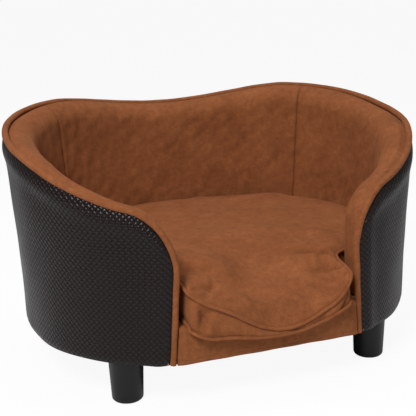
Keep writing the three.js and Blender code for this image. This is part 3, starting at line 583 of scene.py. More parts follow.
# ---------------------------------------------------------------------------------------------
# The tub's shape
# ---------------------------------------------------------------------------------------------
@dataclass
class Tub:
    """The tub's plan, rim and front edges, which every layer of its wall follows."""

    half_width: float = 345 * MM
    half_depth: float = 270 * MM
    plan_power: float = 2.25
    flare: float = 0.045
    flare_power: float = 1.5
    full_height: float = 400 * MM
    foot: float = 75 * MM
    edge_top: float = 222 * MM
    corner_length: float = 62 * MM
    corner_drop: float = 80 * MM
    front_angle: float = -66.0
    front_spread: float = 0.985
    rim_angles: tuple = (-66.0, -50.0, -35.0, -13.0, 48.0, 90.0)
    rim_heights: tuple = (0.296, 0.314, 0.337, 0.370, 0.406, 0.382)
    shift_y: float = 0.0
    angles: Array = field(init=False)
    arcs: Array = field(init=False)
    half_arc: float = field(init=False)

    def __post_init__(self) -> None:
        """Tables the distance along the wall against the angle."""
        self.angles = np.arange(self.front_angle - 8, 90.01, 0.5)
        line = self.at_angle(self.angles, np.full_like(self.angles, self.full_height), 0.0)
        steps = np.linalg.norm(np.diff(line, axis=0), axis=1)
        self.arcs = np.concatenate([[0.0], np.cumsum(steps)])
        self.arcs -= np.interp(self.front_angle, self.angles, self.arcs)
        self.half_arc = float(self.arcs[-1])

    def at_angle(self, angle: Array, z: Array, inset: Array | float) -> Array:
        """Points of the wall at plan angles, heights and distances inside the outer face.

        Args:
            angle: plan angles in degrees, where 90 is the back.
            z: heights over the floor, in metres.
            inset: distance inside the outer face, in metres.

        Returns:
            One point for each input.
        """
        rise = np.clip((z - self.foot) / (self.full_height - self.foot), 0, 1.1)
        a = self.half_width * (1 - self.flare * (1 - rise**self.flare_power))
        c, s = np.cos(np.radians(angle)), np.sin(np.radians(angle))
        bend = 2 / self.plan_power
        x = a * np.sign(c) * np.abs(c) ** bend
        y = self.half_depth * np.sign(s) * np.abs(s) ** bend
        nx = np.sign(x) * np.abs(x / a) ** (self.plan_power - 1) / a
        ny = np.sign(y) * np.abs(y / self.half_depth) ** (self.plan_power - 1) / self.half_depth
        length = np.hypot(nx, ny)
        points = [x - nx / length * inset, y - ny / length * inset + self.shift_y, z + 0 * x]
        return np.stack(points, -1)

    def point(self, around: Array, z: Array, inset: Array | float) -> Array:
        """Points at signed distances round the wall, where 0 is the middle of the back.

        Args:
            around: signed distances round the wall from the middle of the back, in metres.
            z: heights over the floor, in metres.
            inset: distance inside the outer face, in metres.

        Returns:
            One point for each input.
        """
        around, z = np.broadcast_arrays(around, z)
        climb = np.clip((z - self.foot) / (self.edge_top - self.foot), 0, 1)
        spread = self.front_spread + (1 - self.front_spread) * climb
        turn = (90 - np.interp(self.half_arc - np.abs(around), self.arcs, self.angles)) * spread
        points = self.at_angle(90 - turn, z, inset)
        points[..., 0] *= np.where(around < 0, -1, 1)
        return points

    def rim(self, around: Array, proud: Array | float = 0.0) -> Array:
        """Height of the rim, `proud` outside the outer cover's own edge.

        Args:
            around: signed distances round the wall from the middle of the back, in metres.
            proud: distance outside the cover's own edge, in metres.

        Returns:
            Heights over the floor in metres.
        """
        distance = self.half_arc - np.abs(around)
        knots, values = np.array(self.rim_angles), np.array(self.rim_heights)
        slopes = np.zeros(len(knots))
        slopes[0] = (values[1] - values[0]) / (knots[1] - knots[0])
        slopes[1:-1] = (values[2:] - values[:-2]) / (knots[2:] - knots[:-2])
        angle = np.clip(np.interp(distance, self.arcs, self.angles), knots[0], knots[-1])
        i = np.clip(np.searchsorted(knots, angle), 1, len(knots) - 1)
        width = knots[i] - knots[i - 1]
        t = (angle - knots[i - 1]) / width
        level = (1 - t) ** 2 * (1 + 2 * t) * values[i - 1] + t * t * (3 - 2 * t) * values[i]
        level = level + width * t * (1 - t) * ((1 - t) * slopes[i - 1] - t * slopes[i])
        across = np.clip((distance + proud) / (self.corner_length + proud), 0, 1)
        drop = (self.corner_drop + proud) * (1 - np.sqrt(1 - (1 - across) ** 2))
        return level + proud - drop

    def places(self, start: float, end: float, count: int) -> Array:
        """Distances round the wall, closer together towards the front edges.

        Args:
            start: first distance in metres.
            end: last distance in metres.
            count: number of distances.

        Returns:
            Count distances.
        """
        reach = self.half_arc + 12 * MM
        low, high = math.asin(start / reach), math.asin(end / reach)
        return reach * np.sin(np.linspace(low, high, count))


# ---------------------------------------------------------------------------------------------
# Sub-assemblies
# ---------------------------------------------------------------------------------------------
class Body(Enum):
    """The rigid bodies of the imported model."""

    FRAME = "bed_frame"
    CUSHION = "cushion"


class Slot(Enum):
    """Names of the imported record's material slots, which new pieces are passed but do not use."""

    LEATHERETTE = "woven_pu"
    SUEDE = "suede"
    LEGS = "leg_plastic"


def place(piece: bpy.types.Object, body: Body, slot: Slot, *stands_for: str) -> bpy.types.Object:
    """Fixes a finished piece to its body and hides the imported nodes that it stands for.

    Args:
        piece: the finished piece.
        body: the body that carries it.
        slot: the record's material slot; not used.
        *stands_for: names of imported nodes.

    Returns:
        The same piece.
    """
    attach(piece, body.value)
    if stands_for:
        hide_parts(*stands_for)
    LOG.info("%s: %d vertices on %s", piece.name, len(piece.data.vertices), body.value)
    return piece


@dataclass
class OuterCover:
    """The leatherette round the outside of the tub, rolled in at its edges under the rim roll."""

    tub: Tub
    columns: int = 460
    rows: int = 90
    thickness: float = 1.2 * MM
    plump: float = 3.2 * MM  # how far the wadding under it pushes it out near the rim
    plump_at: float = 19 * MM
    tuck: float = 3.4 * MM
    slack: float = 0.5 * MM

    def build(self, material: bpy.types.Material) -> bpy.types.Object:
        """Builds the cover.

        Args:
            material: the finish given to the mesh.

        Returns:
            The cover.
        """
        tub = self.tub
        around = tub.places(-tub.half_arc, tub.half_arc, self.columns)[:, None]
        share = np.linspace(0, 1, self.rows)[None, :] ** 0.8
        z = tub.foot + (tub.rim(around) - tub.foot) * share
        side = tub.half_arc - np.abs(around)
        edge = np.minimum(side + 0 * z, tub.rim(around) - z)
        hump = np.exp(-(((edge - self.plump_at) / (0.75 * self.plump_at)) ** 2))
        out = self.plump * hump - self.tuck * np.exp(-edge / (6.5 * MM))
        out += self.slack * ripple(around + 0 * z, z * 0.6, 90 * MM, 3) * smoothstep(0, 0.04, edge)
        out -= 1.5 * MM * np.exp(-(z - tub.foot) / (3 * MM))
        inset = -out
        face = tub.point(around + 0 * z, z, inset)
        back = tub.point(around + 0 * z, z, np.maximum(inset, 0) + self.thickness)
        uv = np.stack([around + 0 * z, z], -1)
        return slab("outer_cover_woven", face, back, material, uv)

    def declare(self) -> None:
        """Works out places round the wall and the cover's height at each, but keeps neither.
        """
        tub = self.tub
        around = tub.places(-tub.half_arc, tub.half_arc, self.columns)
        height = tub.rim(around) - tub.foot


@dataclass
class RimRoll:
    """The suede roll that runs up one front edge, round the rim and down the other."""

    tub: Tub
    radius: float = 5 * MM
    proud: float = 4.5 * MM
    steps: int = 900

    def path(self) -> tuple[Array, Array]:
        """The roll's middle line and the outward direction at each point."""
        tub = self.tub
        edge = tub.half_arc + self.proud
        over = tub.places(-edge, edge, self.steps)
        top = tub.rim(over, self.proud)[0] - self.radius / 2
        upright = np.linspace(tub.foot, top, 90)
        around = np.concatenate([np.full(90, -edge), over, np.full(90, edge)])
        z = np.concatenate([upright, tub.rim(over, self.proud), upright[::-1]])
        line = tub.point(around, z, self.radius)
        outward = unit(tub.point(around, z, self.radius - MM) - line)
        return line, outward

    def build(self, material: bpy.types.Material) -> bpy.types.Object:
        """Builds the roll, slightly flattened and puckered along its seam.

        Args:
            material: the finish given to the mesh.

        Returns:
            The roll.
        """
        line, outward = self.path()
        run = np.concatenate([[0], np.cumsum(np.linalg.norm(np.diff(line, axis=0), axis=1))])
        base = ellipse(2.1 * self.radius, 1.9 * self.radius, 28, 2.3)
        angle = np.arctan2(base[:, 1], base[:, 0])
        swell = 1 + 0.035 * ripple(run[:, None] + 0 * angle, 0.004 * angle + 0 * run[:, None], 35 * MM, 11)
        pucker = 1 - 0.05 * np.exp(-(((np.abs(angle) - 2.6) / 0.35) ** 2)) * (
            1 + 0.6 * np.sin(math.tau * run[:, None] / (9 * MM))
        )
        section = base[None] * (swell * pucker)[..., None]
        return strand("rim_roll_sewn", line, outward, section, material)


@dataclass
class WallPads:
    """The padded suede lining of the tub, sewn from three panels that meet at the rear corners."""

    tub: Tub
    depth: float = 52 * MM
    roll: float = 36 * MM
    proud: float = 7 * MM
    groove: float = 6 * MM  # depth of the crease between the pad and the roll
    seam: float = 10.6 * MM
    seam_angle: float = 42.0
    foot: float = 134.4 * MM
    back_deep: float = 26.8 * MM  # behind the foam, clear of the posts
    back_shallow: float = 6.4 * MM
    post_top: float = 242 * MM
    roll_rows: int = 34
    wall_rows: int = 56

    def surface(self, around: Array, inset: float) -> tuple[Array, Array]:
        """Points over the rim and down the wall, and how far each is along its section.

        Args:
            around: N distances round the wall.
            inset: distance under the lining's face.

        Returns:
            N by M by 3 points, and N by M lengths in metres.
        """
        tub = self.tub
        side = tub.half_arc - np.abs(around)[:, None]
        share = np.clip(side / self.roll, 0, 1)
        fullness = (1 - (1 - share) ** 2.3) ** (1 / 2.3)
        seam = self.seam + inset
        full = seam + (self.depth - inset - seam) * fullness
        rim = tub.rim(around, self.proud - inset)[:, None]
        turn = np.linspace(0, math.pi / 2, self.roll_rows)[None, :]
        bend = 2 / 2.35
        groove = self.groove * np.exp(-((turn * self.roll / (5 * MM)) ** 2))
        drop = self.roll * (1 - np.cos(turn) ** bend) + groove
        over = seam + (full - seam) * np.sin(turn) ** bend
        fall = np.linspace(0, 1, self.wall_rows + 1)[None, 1:]
        low = (rim - self.roll) * (1 - fall) + self.foot * fall
        z = np.concatenate([rim - drop, low], 1)
        offset = np.concatenate([over + 0 * rim, full + 0 * low], 1)
        below_roll = self.roll * math.pi / 2 + (rim - self.roll - low)
        run = np.concatenate([turn * self.roll + 0 * rim, below_roll], 1)
        spot = around[:, None] + 0 * z
        if inset == 0:
            offset = offset + self.crumple(spot, z, run, side, full)
        return self.tub.point(spot, z, offset), run

    def crumple(self, around: Array, z: Array, run: Array, side: Array, full: Array) -> Array:
        """How far the lining stands out from its even shape: slack, tension folds and seams.

        Args:
            around: signed distances round the wall from the middle of the back, in metres.
            z: heights over the floor, in metres.
            run: distances down the lining from the rim, in metres.
            side: distances from the nearer front edge, in metres.
            full: distances of the pad's full face inside the outer face, in metres.

        Returns:
            Distances in metres.
        """
        free = smoothstep(0, 0.05, side) * smoothstep(0.004, 0.05, run)
        wave = 1.3 * MM * ripple(around, z, 120 * MM, 21) + 0.5 * MM * ripple(around, z, 38 * MM, 22)
        corner = self.tub.half_arc - np.interp(self.seam_angle, self.tub.angles, self.tub.arcs)
        total = wave * free
        for sign in (-1, 1):
            off = around - sign * corner
            total -= 2.2 * MM * np.exp(-((off / (3.5 * MM)) ** 2)) * smoothstep(0, 0.02, run)
            tension_folds = ((0.035, 0.25, 1.6), (-0.045, -0.2, 1.3), (0.085, 0.35, 1.1), (0.14, 0.2, 0.8))
            for shift, lean, height in tension_folds:
                line = off + sign * shift + lean * (run - 0.1)
                ridge = np.exp(-((line / (9 * MM)) ** 2)) * smoothstep(0.02, 0.07, run)
                total += height * MM * ridge * (0.6 + 0.4 * ripple(around, z, 0.2, 30))
        return total * np.clip((full - self.seam) / (20 * MM), 0, 1)

    def build(self, material: bpy.types.Material) -> list[bpy.types.Object]:
        """Builds the left, back and right pads.

        Args:
            material: the finish given to the mesh.

        Returns:
            The left, back and right pads.
        """
        tub = self.tub
        corner = tub.half_arc - float(np.interp(self.seam_angle, tub.angles, tub.arcs))
        spans = {
            "left": (-tub.half_arc, -corner - 0.3 * MM, 150),
            "back": (-corner + 0.3 * MM, corner - 0.3 * MM, 170),
            "right": (corner + 0.3 * MM, tub.half_arc, 150),
        }
        made = []
        for side, (start, end, count) in spans.items():
            around = tub.places(start, end, count)
            face, _ = self.surface(around, 0.0)
            spot = around[:, None] + 0 * face[..., 2]
            front = np.clip((self.tub.half_arc - np.abs(spot)) / (24 * MM), 0, 1)
            deep = np.where(face[..., 2] < self.post_top + 4 * MM, self.back_deep, self.back_shallow)
            deep = self.back_shallow + (deep - self.back_shallow) * (front > 0.99)
            high = np.minimum(face[..., 2], tub.rim(spot, -3 * MM))
            back = tub.point(spot, high, deep)
            pad = slab(f"{side}_wall_pad", face, back, material)
            made.append(place(pad, Body.FRAME, Slot.SUEDE, f"{side}_lining", f"{side}_foam"))
        return made


@dataclass
class FrontRail:
    """The padded front rail, in suede that is drawn over its edge on to the seat."""

    half_length: float = 144 * MM
    spread: float = 4.9 * MM  # its ends follow the rolls, which lean out towards the foot
    edge: float = 9 * MM
    stitch_up: float = 6 * MM

    def build(self, material: bpy.types.Material) -> bpy.types.Object:
        """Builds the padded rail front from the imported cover's box.

        Args:
            material: the finish given to the mesh.

        Returns:
            The padded front.
        """
        low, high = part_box("front_rail_cover")
        wood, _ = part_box("front_rail")
        across = np.linspace(-1, 1, 170)[:, None]
        turn = np.linspace(0, math.pi / 2, 18)
        rise = np.linspace(low.z, high.z - self.edge, 40)[:-1]
        run_back = np.linspace(low.y + self.edge, high.y, 22)[1:]
        y = np.concatenate([np.full(39, low.y), low.y + self.edge * (1 - np.cos(turn)), run_back])
        z = np.concatenate([rise, high.z - self.edge * (1 - np.sin(turn)), np.full(21, high.z)])
        lean = self.spread * np.clip((high.z - z) / (high.z - low.z), 0, 1) * (y < low.y + 4 * MM)
        x = across * (self.half_length + lean[None, :])
        end = np.clip((1 - np.abs(across)) * self.half_length / (10 * MM), 0, 1)
        soft = smoothstep(0, 1, end)
        puff = 1.6 * MM * np.sin(math.pi * np.clip((z - low.z) / (high.z - low.z), 0, 1))[None, :]
        puff = puff + 0.7 * MM * ripple(x + 0 * z, z + 0 * x, 70 * MM, 5)
        front = (y < low.y + self.edge)[None, :]
        hem = 0.9 * MM * np.exp(-(((z - low.z - self.stitch_up) / (1.2 * MM)) ** 2))[None, :] * front
        ys = y[None, :] - np.where(front, puff * soft - hem, 0) + 1.5 * MM * (1 - soft) * front
        zs = z[None, :] + 0 * across
        face = np.stack([x + 0 * y, ys, zs], -1)
        deep = np.maximum(y, wood.y - 0.3 * MM)
        flat = np.minimum(z, high.z - 1.2 * MM)
        deep = np.where(z < high.z - 3 * MM, wood.y - 0.3 * MM, deep)
        back = np.stack([x + 0 * y, deep[None, :] + 0 * x, flat[None, :] + 0 * x], -1)
        return slab("front_rail_padded", face, back, material)


@dataclass
class Fold:
    """One soft ridge (or, with a negative height, crease) drawn from one point to another."""

    start: tuple[float, float]
    end: tuple[float, float]
    width: float
    height: float

    def rise(self, x: Array, y: Array) -> Array:
        """Height of the fold at each point, full at its start and gone at its end.

        Args:
            x: places across the bed, in metres.
            y: places from the front to the back, in metres.

        Returns:
            Heights in metres.
        """
        (x0, y0), (x1, y1) = self.start, self.end
        dx, dy = x1 - x0, y1 - y0
        length = math.hypot(dx, dy)
        along = ((x - x0) * dx + (y - y0) * dy) / length**2
        off = ((x - x0) * dy - (y - y0) * dx) / length
        fade = smoothstep(-0.25, 0.15, along) * (1 - smoothstep(0.35, 1.0, along))
        return self.height * fade * np.exp(-((off / self.width) ** 2))


@dataclass
class Cushion:
    """The loose cushion: crowned, piped top and bottom, and sagging over the front rail."""

    tub: Tub
    side: float = 62 * MM
    crown: float = 14 * MM
    gap: float = 61 * MM  # from the tub's outer face to the boxing
    neck: float = 130 * MM
    front: float = -266 * MM
    lip_back: float = -251.5 * MM
    lip_rise: float = 110 * MM
    lip_fall: float = 20 * MM
    trough_x: float = 16 * MM
    trough_half: float = 62 * MM
    trough_run: float = 190 * MM
    trough_thick: float = 6 * MM
    middle: float = 20 * MM
    piping: float = 2.6 * MM
    outline_points: int = 560
    lip_x: tuple = (-0.130, -0.114, -0.068, -0.017, 0.012, 0.045, 0.079, 0.110, 0.130)
    lip_top: tuple = (0.184, 0.173, 0.150, 0.121, 0.114, 0.118, 0.131, 0.149, 0.178)
    lip_low: tuple = (0.128, 0.118, 0.111, 0.103, 0.102, 0.105, 0.113, 0.125, 0.134)
    bottom: float = 134.4 * MM

    def lip(self, x: Array, heights: tuple) -> Array:
        """A smooth curve through the heights of a front seam.

        Args:
            x: places across the bed, in metres.
            heights: the seam's heights at the knots, in metres.

        Returns:
            Heights in metres.
        """
        knots, values = np.array(self.lip_x), np.array(heights)
        slopes = np.gradient(values, knots)
        at = np.clip(x, knots[0], knots[-1])
        i = np.clip(np.searchsorted(knots, at), 1, len(knots) - 1)
        w = knots[i] - knots[i - 1]
        t = (at - knots[i - 1]) / w
        level = (1 - t) ** 2 * (1 + 2 * t) * values[i - 1] + t * t * (3 - 2 * t) * values[i]
        return level + w * t * (1 - t) * ((1 - t) * slopes[i - 1] - t * slopes[i])

    def outline(self) -> Array:
        """The plan of the boxing as evenly spaced points, smoothed at its corners."""
        reach = self.tub.half_arc - 10 * MM
        round_wall = np.linspace(reach, -reach, 300)
        wall = self.tub.point(round_wall, np.full(300, self.bottom), self.gap)[:, :2]
        n, f, shift = self.neck, self.front, self.tub.shift_y
        right = np.array([[n + 3 * MM, -0.196], [n, -0.212], [n, -0.232], [n, -0.2515], [n - 1 * MM, -0.2555],
                          [n - 4 * MM, f + 4 * MM], [n - 12 * MM, f + 1 * MM], [0.5 * n, f]])
        right[:, 1] += shift
        left = right * (-1, 1)
        loop = np.concatenate([left, [[0, f + shift]], right[::-1], wall])
        loop = np.concatenate([loop, loop[:1]])
        run = np.concatenate([[0], np.cumsum(np.linalg.norm(np.diff(loop, axis=0), axis=1))])
        at = np.linspace(0, run[-1], self.outline_points, endpoint=False)
        even = np.stack([np.interp(at, run, loop[:, k]) for k in (0, 1)], 1)
        for _ in range(5):
            even = 0.5 * even + 0.25 * (np.roll(even, 1, 0) + np.roll(even, -1, 0))
        return even

    def top_seam(self, x: Array, y: Array) -> Array:
        """Height of the top seam, and of the sag behind it.

        Args:
            x: places across the bed, in metres.
            y: places from the front to the back, in metres.

        Returns:
            Heights in metres.
        """
        low = self.lip(x, self.lip_top)
        full = self.bottom + self.side
        back = y - self.tub.shift_y - self.front
        bank = low + (full - low) * np.clip(back / self.lip_rise, 0, 1) ** 0.6
        level = self.bottom + self.trough_thick
        trough = low + (level - low) * smoothstep(0, self.lip_fall, back)
        trough = trough + (full - level) * smoothstep(0, self.trough_run, back - self.lip_fall)
        middle = np.exp(-(((x - self.trough_x) / self.trough_half) ** 2))
        return bank + (trough - bank) * middle

    def low_seam(self, x: Array, y: Array) -> Array:
        """Height of the bottom seam: it droops where it hangs in front of the rail.

        Args:
            x: places across the bed, in metres.
            y: places from the front to the back, in metres.

        Returns:
            Heights in metres.
        """
        step = self.lip_back + self.tub.shift_y
        hang = smoothstep(0, 1, (step - y) / (4 * MM))
        return self.bottom + (np.minimum(self.lip(x, self.lip_low), self.bottom) - self.bottom) * hang

    def pucker(self, plan: Array, t: float) -> Array:
        """How far the boxing is drawn in where the lip is bunched beside each arm.

        Args:
            plan: N by 2 points of the boxing.
            t: share of the way from the bottom seam to the top seam.

        Returns:
            N depths in metres.
        """
        x, y = plan.T
        front = smoothstep(-0.235, -0.262, y) + 0 * x
        deep = 12 * MM * np.exp(-(((x + 0.119 - 0.012 * t) / (9 * MM)) ** 2))
        deep = deep + 4 * MM * np.exp(-(((x + 0.086 + 0.045 * t) / (7 * MM)) ** 2))
        deep = deep + 6 * MM * np.exp(-(((x - 0.112 - 0.02 * t) / (8 * MM)) ** 2))
        return deep * front

    def folds(self) -> list[Fold]:
        """Tension folds of the top, mostly drawn from the corners beside the arms."""
        return [
            Fold((-0.110, -0.212), (0.03, -0.276), 13 * MM, 8 * MM),
            Fold((-0.125, -0.172), (0.04, -0.240), 14 * MM, -15 * MM),
            Fold((-0.128, -0.248), (-0.05, -0.222), 4.5 * MM, -7 * MM),
            Fold((-0.120, -0.257), (-0.075, -0.236), 4 * MM, 3 * MM),
            Fold((-0.110, -0.262), (-0.07, -0.21), 4 * MM, -5 * MM),
            Fold((0.105, -0.200), (0.03, -0.155), 12 * MM, 5 * MM),
            Fold((0.134, -0.233), (0.06, -0.195), 4 * MM, -13 * MM),
            Fold((0.130, -0.250), (0.072, -0.222), 4 * MM, -8 * MM),
            Fold((0.132, -0.198), (0.04, -0.135), 4.5 * MM, -14 * MM),
            Fold((0.104, -0.263), (0.062, -0.20), 4.5 * MM, -6 * MM),
            Fold((0.18, -0.15), (0.05, -0.06), 14 * MM, 5 * MM),
            Fold((-0.20, -0.13), (-0.06, -0.04), 14 * MM, 5 * MM),
            Fold((-0.04, -0.264), (-0.028, -0.19), 7 * MM, 4 * MM),
            Fold((0.070, -0.264), (0.035, -0.18), 6 * MM, -5 * MM),
        ]

    def body(self, material: bpy.types.Material) -> bpy.types.Object:
        """Builds the stuffed body from rings of points, from under it to its top.

        Args:
            material: the finish given to the mesh.

        Returns:
            The stuffed body.
        """
        plan = self.outline()
        count = len(plan)
        ahead = np.roll(plan, -1, 0) - np.roll(plan, 1, 0)
        outward = unit(np.stack([ahead[:, 1], -ahead[:, 0]], 1))
        step = self.lip_back + self.tub.shift_y
        hangs = plan[:, 1] < step + 1e-5
        rings = []

        def ring(xy: Array, z: Array) -> None:
            """Keeps one ring of points."""
            rings.append(np.column_stack([xy, z]))

        def shrunk(share: float) -> Array:
            """The plan drawn in towards its middle."""
            centre = np.array([0.0, self.middle])
            return centre + (plan - centre) * share

        def inside(share: float) -> Array:
            """The plan drawn in, and kept behind the rail where it hangs over it.

            Args:
                share: size of the ring, where 1 is the whole plan.

            Returns:
                N by 2 points.
            """
            drawn = shrunk(share)
            drawn[hangs, 1] = np.maximum(drawn[hangs, 1], step)
            return drawn

        for share in np.linspace(0.06, 0.97, 12):
            ring(inside(share), np.full(count, self.bottom))
        low = self.low_seam(*plan.T)
        edge = inside(0.985)
        for t in np.linspace(0, 1, 6):
            ring(edge, self.bottom + (low - self.bottom) * t)
        top = self.top_seam(*plan.T)
        run = np.arange(count) / count * 1.45
        for t in np.linspace(0, 1, 18):
            puff = 2.6 * MM + 1.2 * MM * ripple(run, 0 * run + t * 0.02, 0.05, 41)
            bulge = math.sin(math.pi * t) * (puff - self.pucker(plan, t))
            ring(plan + outward * bulge[:, None], low + (top - low) * t)
        for share in 1 - np.linspace(0.006, 1, 70) ** 1.6 * 0.995:
            xy = shrunk(share)
            x, y = xy.T
            z = self.top_seam(x, y) + self.crown * math.sqrt(1 - share**6)
            away = 1 - share
            live = float(smoothstep(0.0, 0.05, np.array(away)))
            z = z + live * (2.2 * MM * ripple(x, y, 130 * MM, 51) + 0.8 * MM * ripple(x, y, 45 * MM, 52))
            z = z + live * sum(f.rise(x, y) for f in self.folds())
            ring(xy, z)
        rows = len(rings)
        vertices = np.concatenate(rings)
        faces = quads(rows, count, False, True).tolist()
        faces += [list(range(count))[::-1], list(range((rows - 1) * count, rows * count))]
        return make_mesh("cushion_stuffed", vertices, faces, material)

    def pipings(self, material: bpy.types.Material) -> list[bpy.types.Object]:
        """Builds the two pipings that run round the boxing's seams.

        Args:
            material: the finish given to the mesh.

        Returns:
            The top and the bottom piping.
        """
        plan = self.outline()
        ahead = np.roll(plan, -1, 0) - np.roll(plan, 1, 0)
        outward = unit(np.stack([ahead[:, 1], -ahead[:, 0]], 1))
        run = np.arange(len(plan)) / len(plan) * 1.45
        made = []
        for name, heights, lift in (
            ("top", self.top_seam(*plan.T), 0.5 * MM),
            ("bottom", self.low_seam(*plan.T), self.piping + 0.4 * MM),
        ):
            drift = 0.5 * MM * ripple(run, 0 * run, 60 * MM, 61)
            xy = plan + outward * (self.piping + 0.1 * MM + 0.4 * drift[:, None])
            line = np.column_stack([xy, heights + lift + np.abs(drift)])
            swell = 1 + 0.05 * ripple(run, 0 * run, 12 * MM, 62)
            section = ellipse(2 * self.piping, 2 * self.piping, 14)[None] * swell[:, None, None]
            across = np.column_stack([outward, np.zeros(len(plan))])
            made.append(strand(f"cushion_piping_{name}", line, across, section, material, closed=True))
        return made

    def build(self, material: bpy.types.Material) -> None:
        """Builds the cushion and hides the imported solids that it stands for.

        Args:
            material: the finish given to the mesh.
        """
        body = self.body(material)
        groove_low, groove_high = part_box("zip_tape")
        self.open_groove(body, groove_low, groove_high)
        place(body, Body.CUSHION, Slot.SUEDE, "cushion_cover", "cushion_fill")
        top, bottom = self.pipings(material)
        place(top, Body.CUSHION, Slot.SUEDE, "cushion_top_piping")
        place(bottom, Body.CUSHION, Slot.SUEDE, "cushion_bottom_piping")

    def open_groove(self, body: bpy.types.Object, low: Vector, high: Vector) -> None:
        """Cuts the pleat in the underside that hides the zip.

        Args:
            body: the stuffed body.
            low: lowest corner of the zip's tape and coil.
            high: its highest corner.
        """
        margin = 3 * MM
        size = (high.x - low.x + margin, high.y - low.y + 2 * margin, high.z - self.bottom + margin)
        cutter = bpy.data.meshes.new("groove")
        work = bmesh.new()
        bmesh.ops.create_cube(work, size=1.0)
        spot = ((low.x + high.x) / 2, (low.y + high.y) / 2, self.bottom - margin + size[2] / 2)
        bmesh.ops.scale(work, vec=(size[0], size[1], size[2] + margin), verts=work.verts)
        bmesh.ops.translate(work, vec=spot, verts=work.verts)
        work.to_mesh(cutter)
        work.free()
        tool = bpy.data.objects.new("groove", cutter)
        bpy.context.scene.collection.objects.link(tool)
        cut = body.modifiers.new("groove", "BOOLEAN")
        cut.operation, cut.solver, cut.object = "DIFFERENCE", "EXACT", tool
        solid = bpy.data.meshes.new_from_object(body.evaluated_get(bpy.context.evaluated_depsgraph_get()))
        body.modifiers.clear()
        body.data = solid
        bpy.data.objects.remove(tool)


@dataclass
class Legs:
    """Four moulded legs, each turned down to a foot with a felt glide let into it."""

    top_radius: float = 28 * MM
    foot_radius: float = 24.5 * MM
    edge: float = 5 * MM
    bore: float = 4.3 * MM
    seat: float = 17.3 * MM
    seat_depth: float = 2.3 * MM

    def build(self, material: bpy.types.Material) -> None:
        """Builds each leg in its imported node's place.

        Args:
            material: the finish given to the mesh.
        """
        for row in ("front", "back"):
            for side in ("left", "right"):
                node = f"leg_{row}_{side}"
                low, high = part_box(node)
                bolt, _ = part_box(f"hanger_bolt_{row}_{side}")
                centre = ((low.x + high.x) / 2, (low.y + high.y) / 2)
                floor = bolt.z - 2 * MM
                turn = np.linspace(0, math.pi / 2, 9)
                foot = [
                    (self.foot_radius - self.edge + self.edge * math.sin(t),
                     low.z + self.edge * (1 - math.cos(t)))
                    for t in turn
                ]
                seat_top = low.z + self.seat_depth
                profile = [(0, seat_top), (self.seat, seat_top), (self.seat, low.z), *foot]
                profile += [(self.top_radius - 0.8 * MM, high.z - 1.2 * MM)]
                profile += [(self.top_radius - 0.4 * MM, high.z - 0.3 * MM)]
                profile += [(self.top_radius - 1.2 * MM, high.z), (self.bore, high.z)]
                profile += [(self.bore, floor), (0, floor)]
                leg = turned(f"{node}_moulded", profile, centre, material)
                place(leg, Body.FRAME, Slot.LEGS, node)


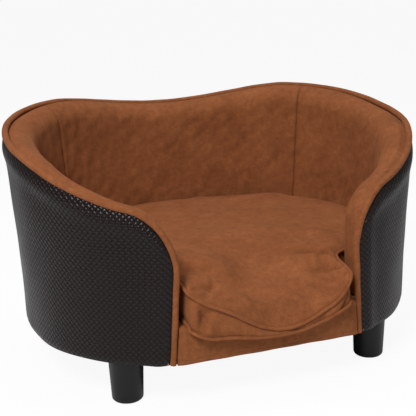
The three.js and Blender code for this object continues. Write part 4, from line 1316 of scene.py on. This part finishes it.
# ---------------------------------------------------------------------------------------------
# Studio
# ---------------------------------------------------------------------------------------------
@dataclass
class Studio:
    """A white sweep, soft lamps and the camera."""

    camera_at: tuple[float, float, float] = (-0.4951, -1.3987, 0.6468)
    yaw: float = 19.149
    pitch: float = 15.436
    roll: float = -1.63
    lens: float = 76.9

    def camera(self) -> None:
        """Places the camera."""
        yaw, pitch, roll = (math.radians(a) for a in (self.yaw, self.pitch, self.roll))
        ahead = Vector((math.sin(yaw) * math.cos(pitch), math.cos(yaw) * math.cos(pitch), -math.sin(pitch)))
        right = Vector((math.cos(yaw), -math.sin(yaw), 0))
        up = right.cross(ahead)
        right2 = right * math.cos(roll) + up * math.sin(roll)
        up2 = up * math.cos(roll) - right * math.sin(roll)
        data = bpy.data.cameras.new("camera")
        data.lens, data.sensor_width = self.lens, 36
        data.clip_start, data.clip_end = 0.05, 50
        eye = bpy.data.objects.new("camera", data)
        matrix = Matrix((right2, up2, -ahead)).transposed().to_4x4()
        matrix.translation = Vector(self.camera_at)
        eye.matrix_world = matrix
        bpy.context.scene.collection.objects.link(eye)
        bpy.context.scene.camera = eye

    def floor(self) -> None:
        """Makes the floor: nearly white to the camera, but it keeps the bed's shadow."""
        material, tree = new_tree("painted_paper_sweep")
        path = add_node(tree, "LightPath")
        paper = add_node(tree, "BsdfDiffuse", {"Color": linear("F4F4F4")})
        white = add_node(tree, "Emission", {"Color": (1, 1, 1, 1), "Strength": 1.0})
        seen = add_node(tree, "Math", {0: path.outputs["Is Camera Ray"], 1: 0.93}, operation="MULTIPLY")
        mix = add_node(tree, "MixShader", {0: seen.outputs[0], 1: paper.outputs[0], 2: white.outputs[0]})
        add_node(tree, "OutputMaterial", {"Surface": mix.outputs[0]})
        size = 25.0
        corners = np.array([[-size, -size, 0], [size, -size, 0], [size, size, 0], [-size, size, 0]])
        sweep = make_mesh("floor", corners, [[0, 1, 2, 3]], material)

    def world(self) -> None:
        """Lights everything evenly, and shows plain white behind the floor's edge."""
        world = bpy.data.worlds.new("studio")
        bpy.context.scene.world = world
        world.use_nodes = True
        tree = world.node_tree
        tree.nodes.clear()
        path = add_node(tree, "LightPath")
        dim = add_node(tree, "Background", {"Color": (1, 1, 1, 1), "Strength": 0.14})
        white = add_node(tree, "Background", {"Color": (1, 1, 1, 1), "Strength": 1.0})
        inputs = {0: path.outputs["Is Camera Ray"], 1: dim.outputs[0], 2: white.outputs[0]}
        mix = add_node(tree, "MixShader", inputs)
        add_node(tree, "OutputWorld", {"Surface": mix.outputs[0]})

    def lamp(self, name: str, at: Vector, size: float, power: float, aim: Vector) -> None:
        """Adds one square area lamp.

        Args:
            name: the lamp's name.
            at: its place.
            size: its side.
            power: its power in watts.
            aim: the point that it faces.
        """
        data = bpy.data.lights.new(name, "AREA")
        data.shape, data.size, data.energy = "SQUARE", size, power
        made = bpy.data.objects.new(name, data)
        made.location = at
        made.rotation_mode = "QUATERNION"
        made.rotation_quaternion = (aim - at).to_track_quat("-Z", "Y")
        bpy.context.scene.collection.objects.link(made)

    def build(self) -> None:
        """Builds the whole studio."""
        bpy.context.scene.view_settings.view_transform = "Standard"
        self.camera()
        self.floor()
        self.world()
        middle = Vector((0, 0, 0.2))
        self.lamp("key", Vector((-1.3, -1.5, 2.1)), 0.8, 62, middle)
        self.lamp("top", Vector((0.2, 0.3, 2.3)), 1.4, 18, middle)
        self.lamp("fill", Vector((1.8, -1.6, 1.0)), 1.4, 5, middle)


# ---------------------------------------------------------------------------------------------
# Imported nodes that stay
# ---------------------------------------------------------------------------------------------
def dress_packed_nodes() -> None:
    """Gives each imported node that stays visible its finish."""
    finishes = {
        ("base_board", "seat_deck", "wall_panel", "front_rail", "back_rail", "left_rail", "right_rail",
         "centre_rail", "front_post", "back_post"): PLYWOOD,
        ("foot_glide",): FELT,
        ("hanger_bolt", "tee_nut"): ZINC,
        ("dust_cover",): NONWOVEN,
        ("zip_tape",): TAPE,
        ("zip_slider", "zip_pull"): LACQUERED,
        ("front_rail_foam",): FOAM,
    }
    for starts, finish in finishes.items():
        material = finish.build()
        for name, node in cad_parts.items():
            if name.startswith(starts):
                node.data.materials.clear()
                node.data.materials.append(material)


def main() -> None:
    """Builds the bed, its cushion and the studio."""
    logging.basicConfig(level=logging.INFO, format="%(name)s: %(message)s")
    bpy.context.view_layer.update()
    Studio().build()
    dress_packed_nodes()
    _, cover_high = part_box("outer_cover")
    tub = Tub(shift_y=cover_high.y - Tub.half_depth)
    suede = Microsuede().build()
    outside = OuterCover(tub)
    cover = place(outside.build(WovenLeatherette().build()), Body.FRAME, Slot.LEATHERETTE, "outer_cover")
    outside.declare()
    roll = place(RimRoll(tub).build(suede), Body.FRAME, Slot.SUEDE, "rim_roll")
    WallPads(tub).build(suede)
    rail = place(FrontRail().build(suede), Body.FRAME, Slot.SUEDE, "front_rail_cover", "front_rail_foam")
    Cushion(tub).build(suede)
    Legs().build(LEG_PLASTIC.build())


if __name__ == "__main__":
    main()
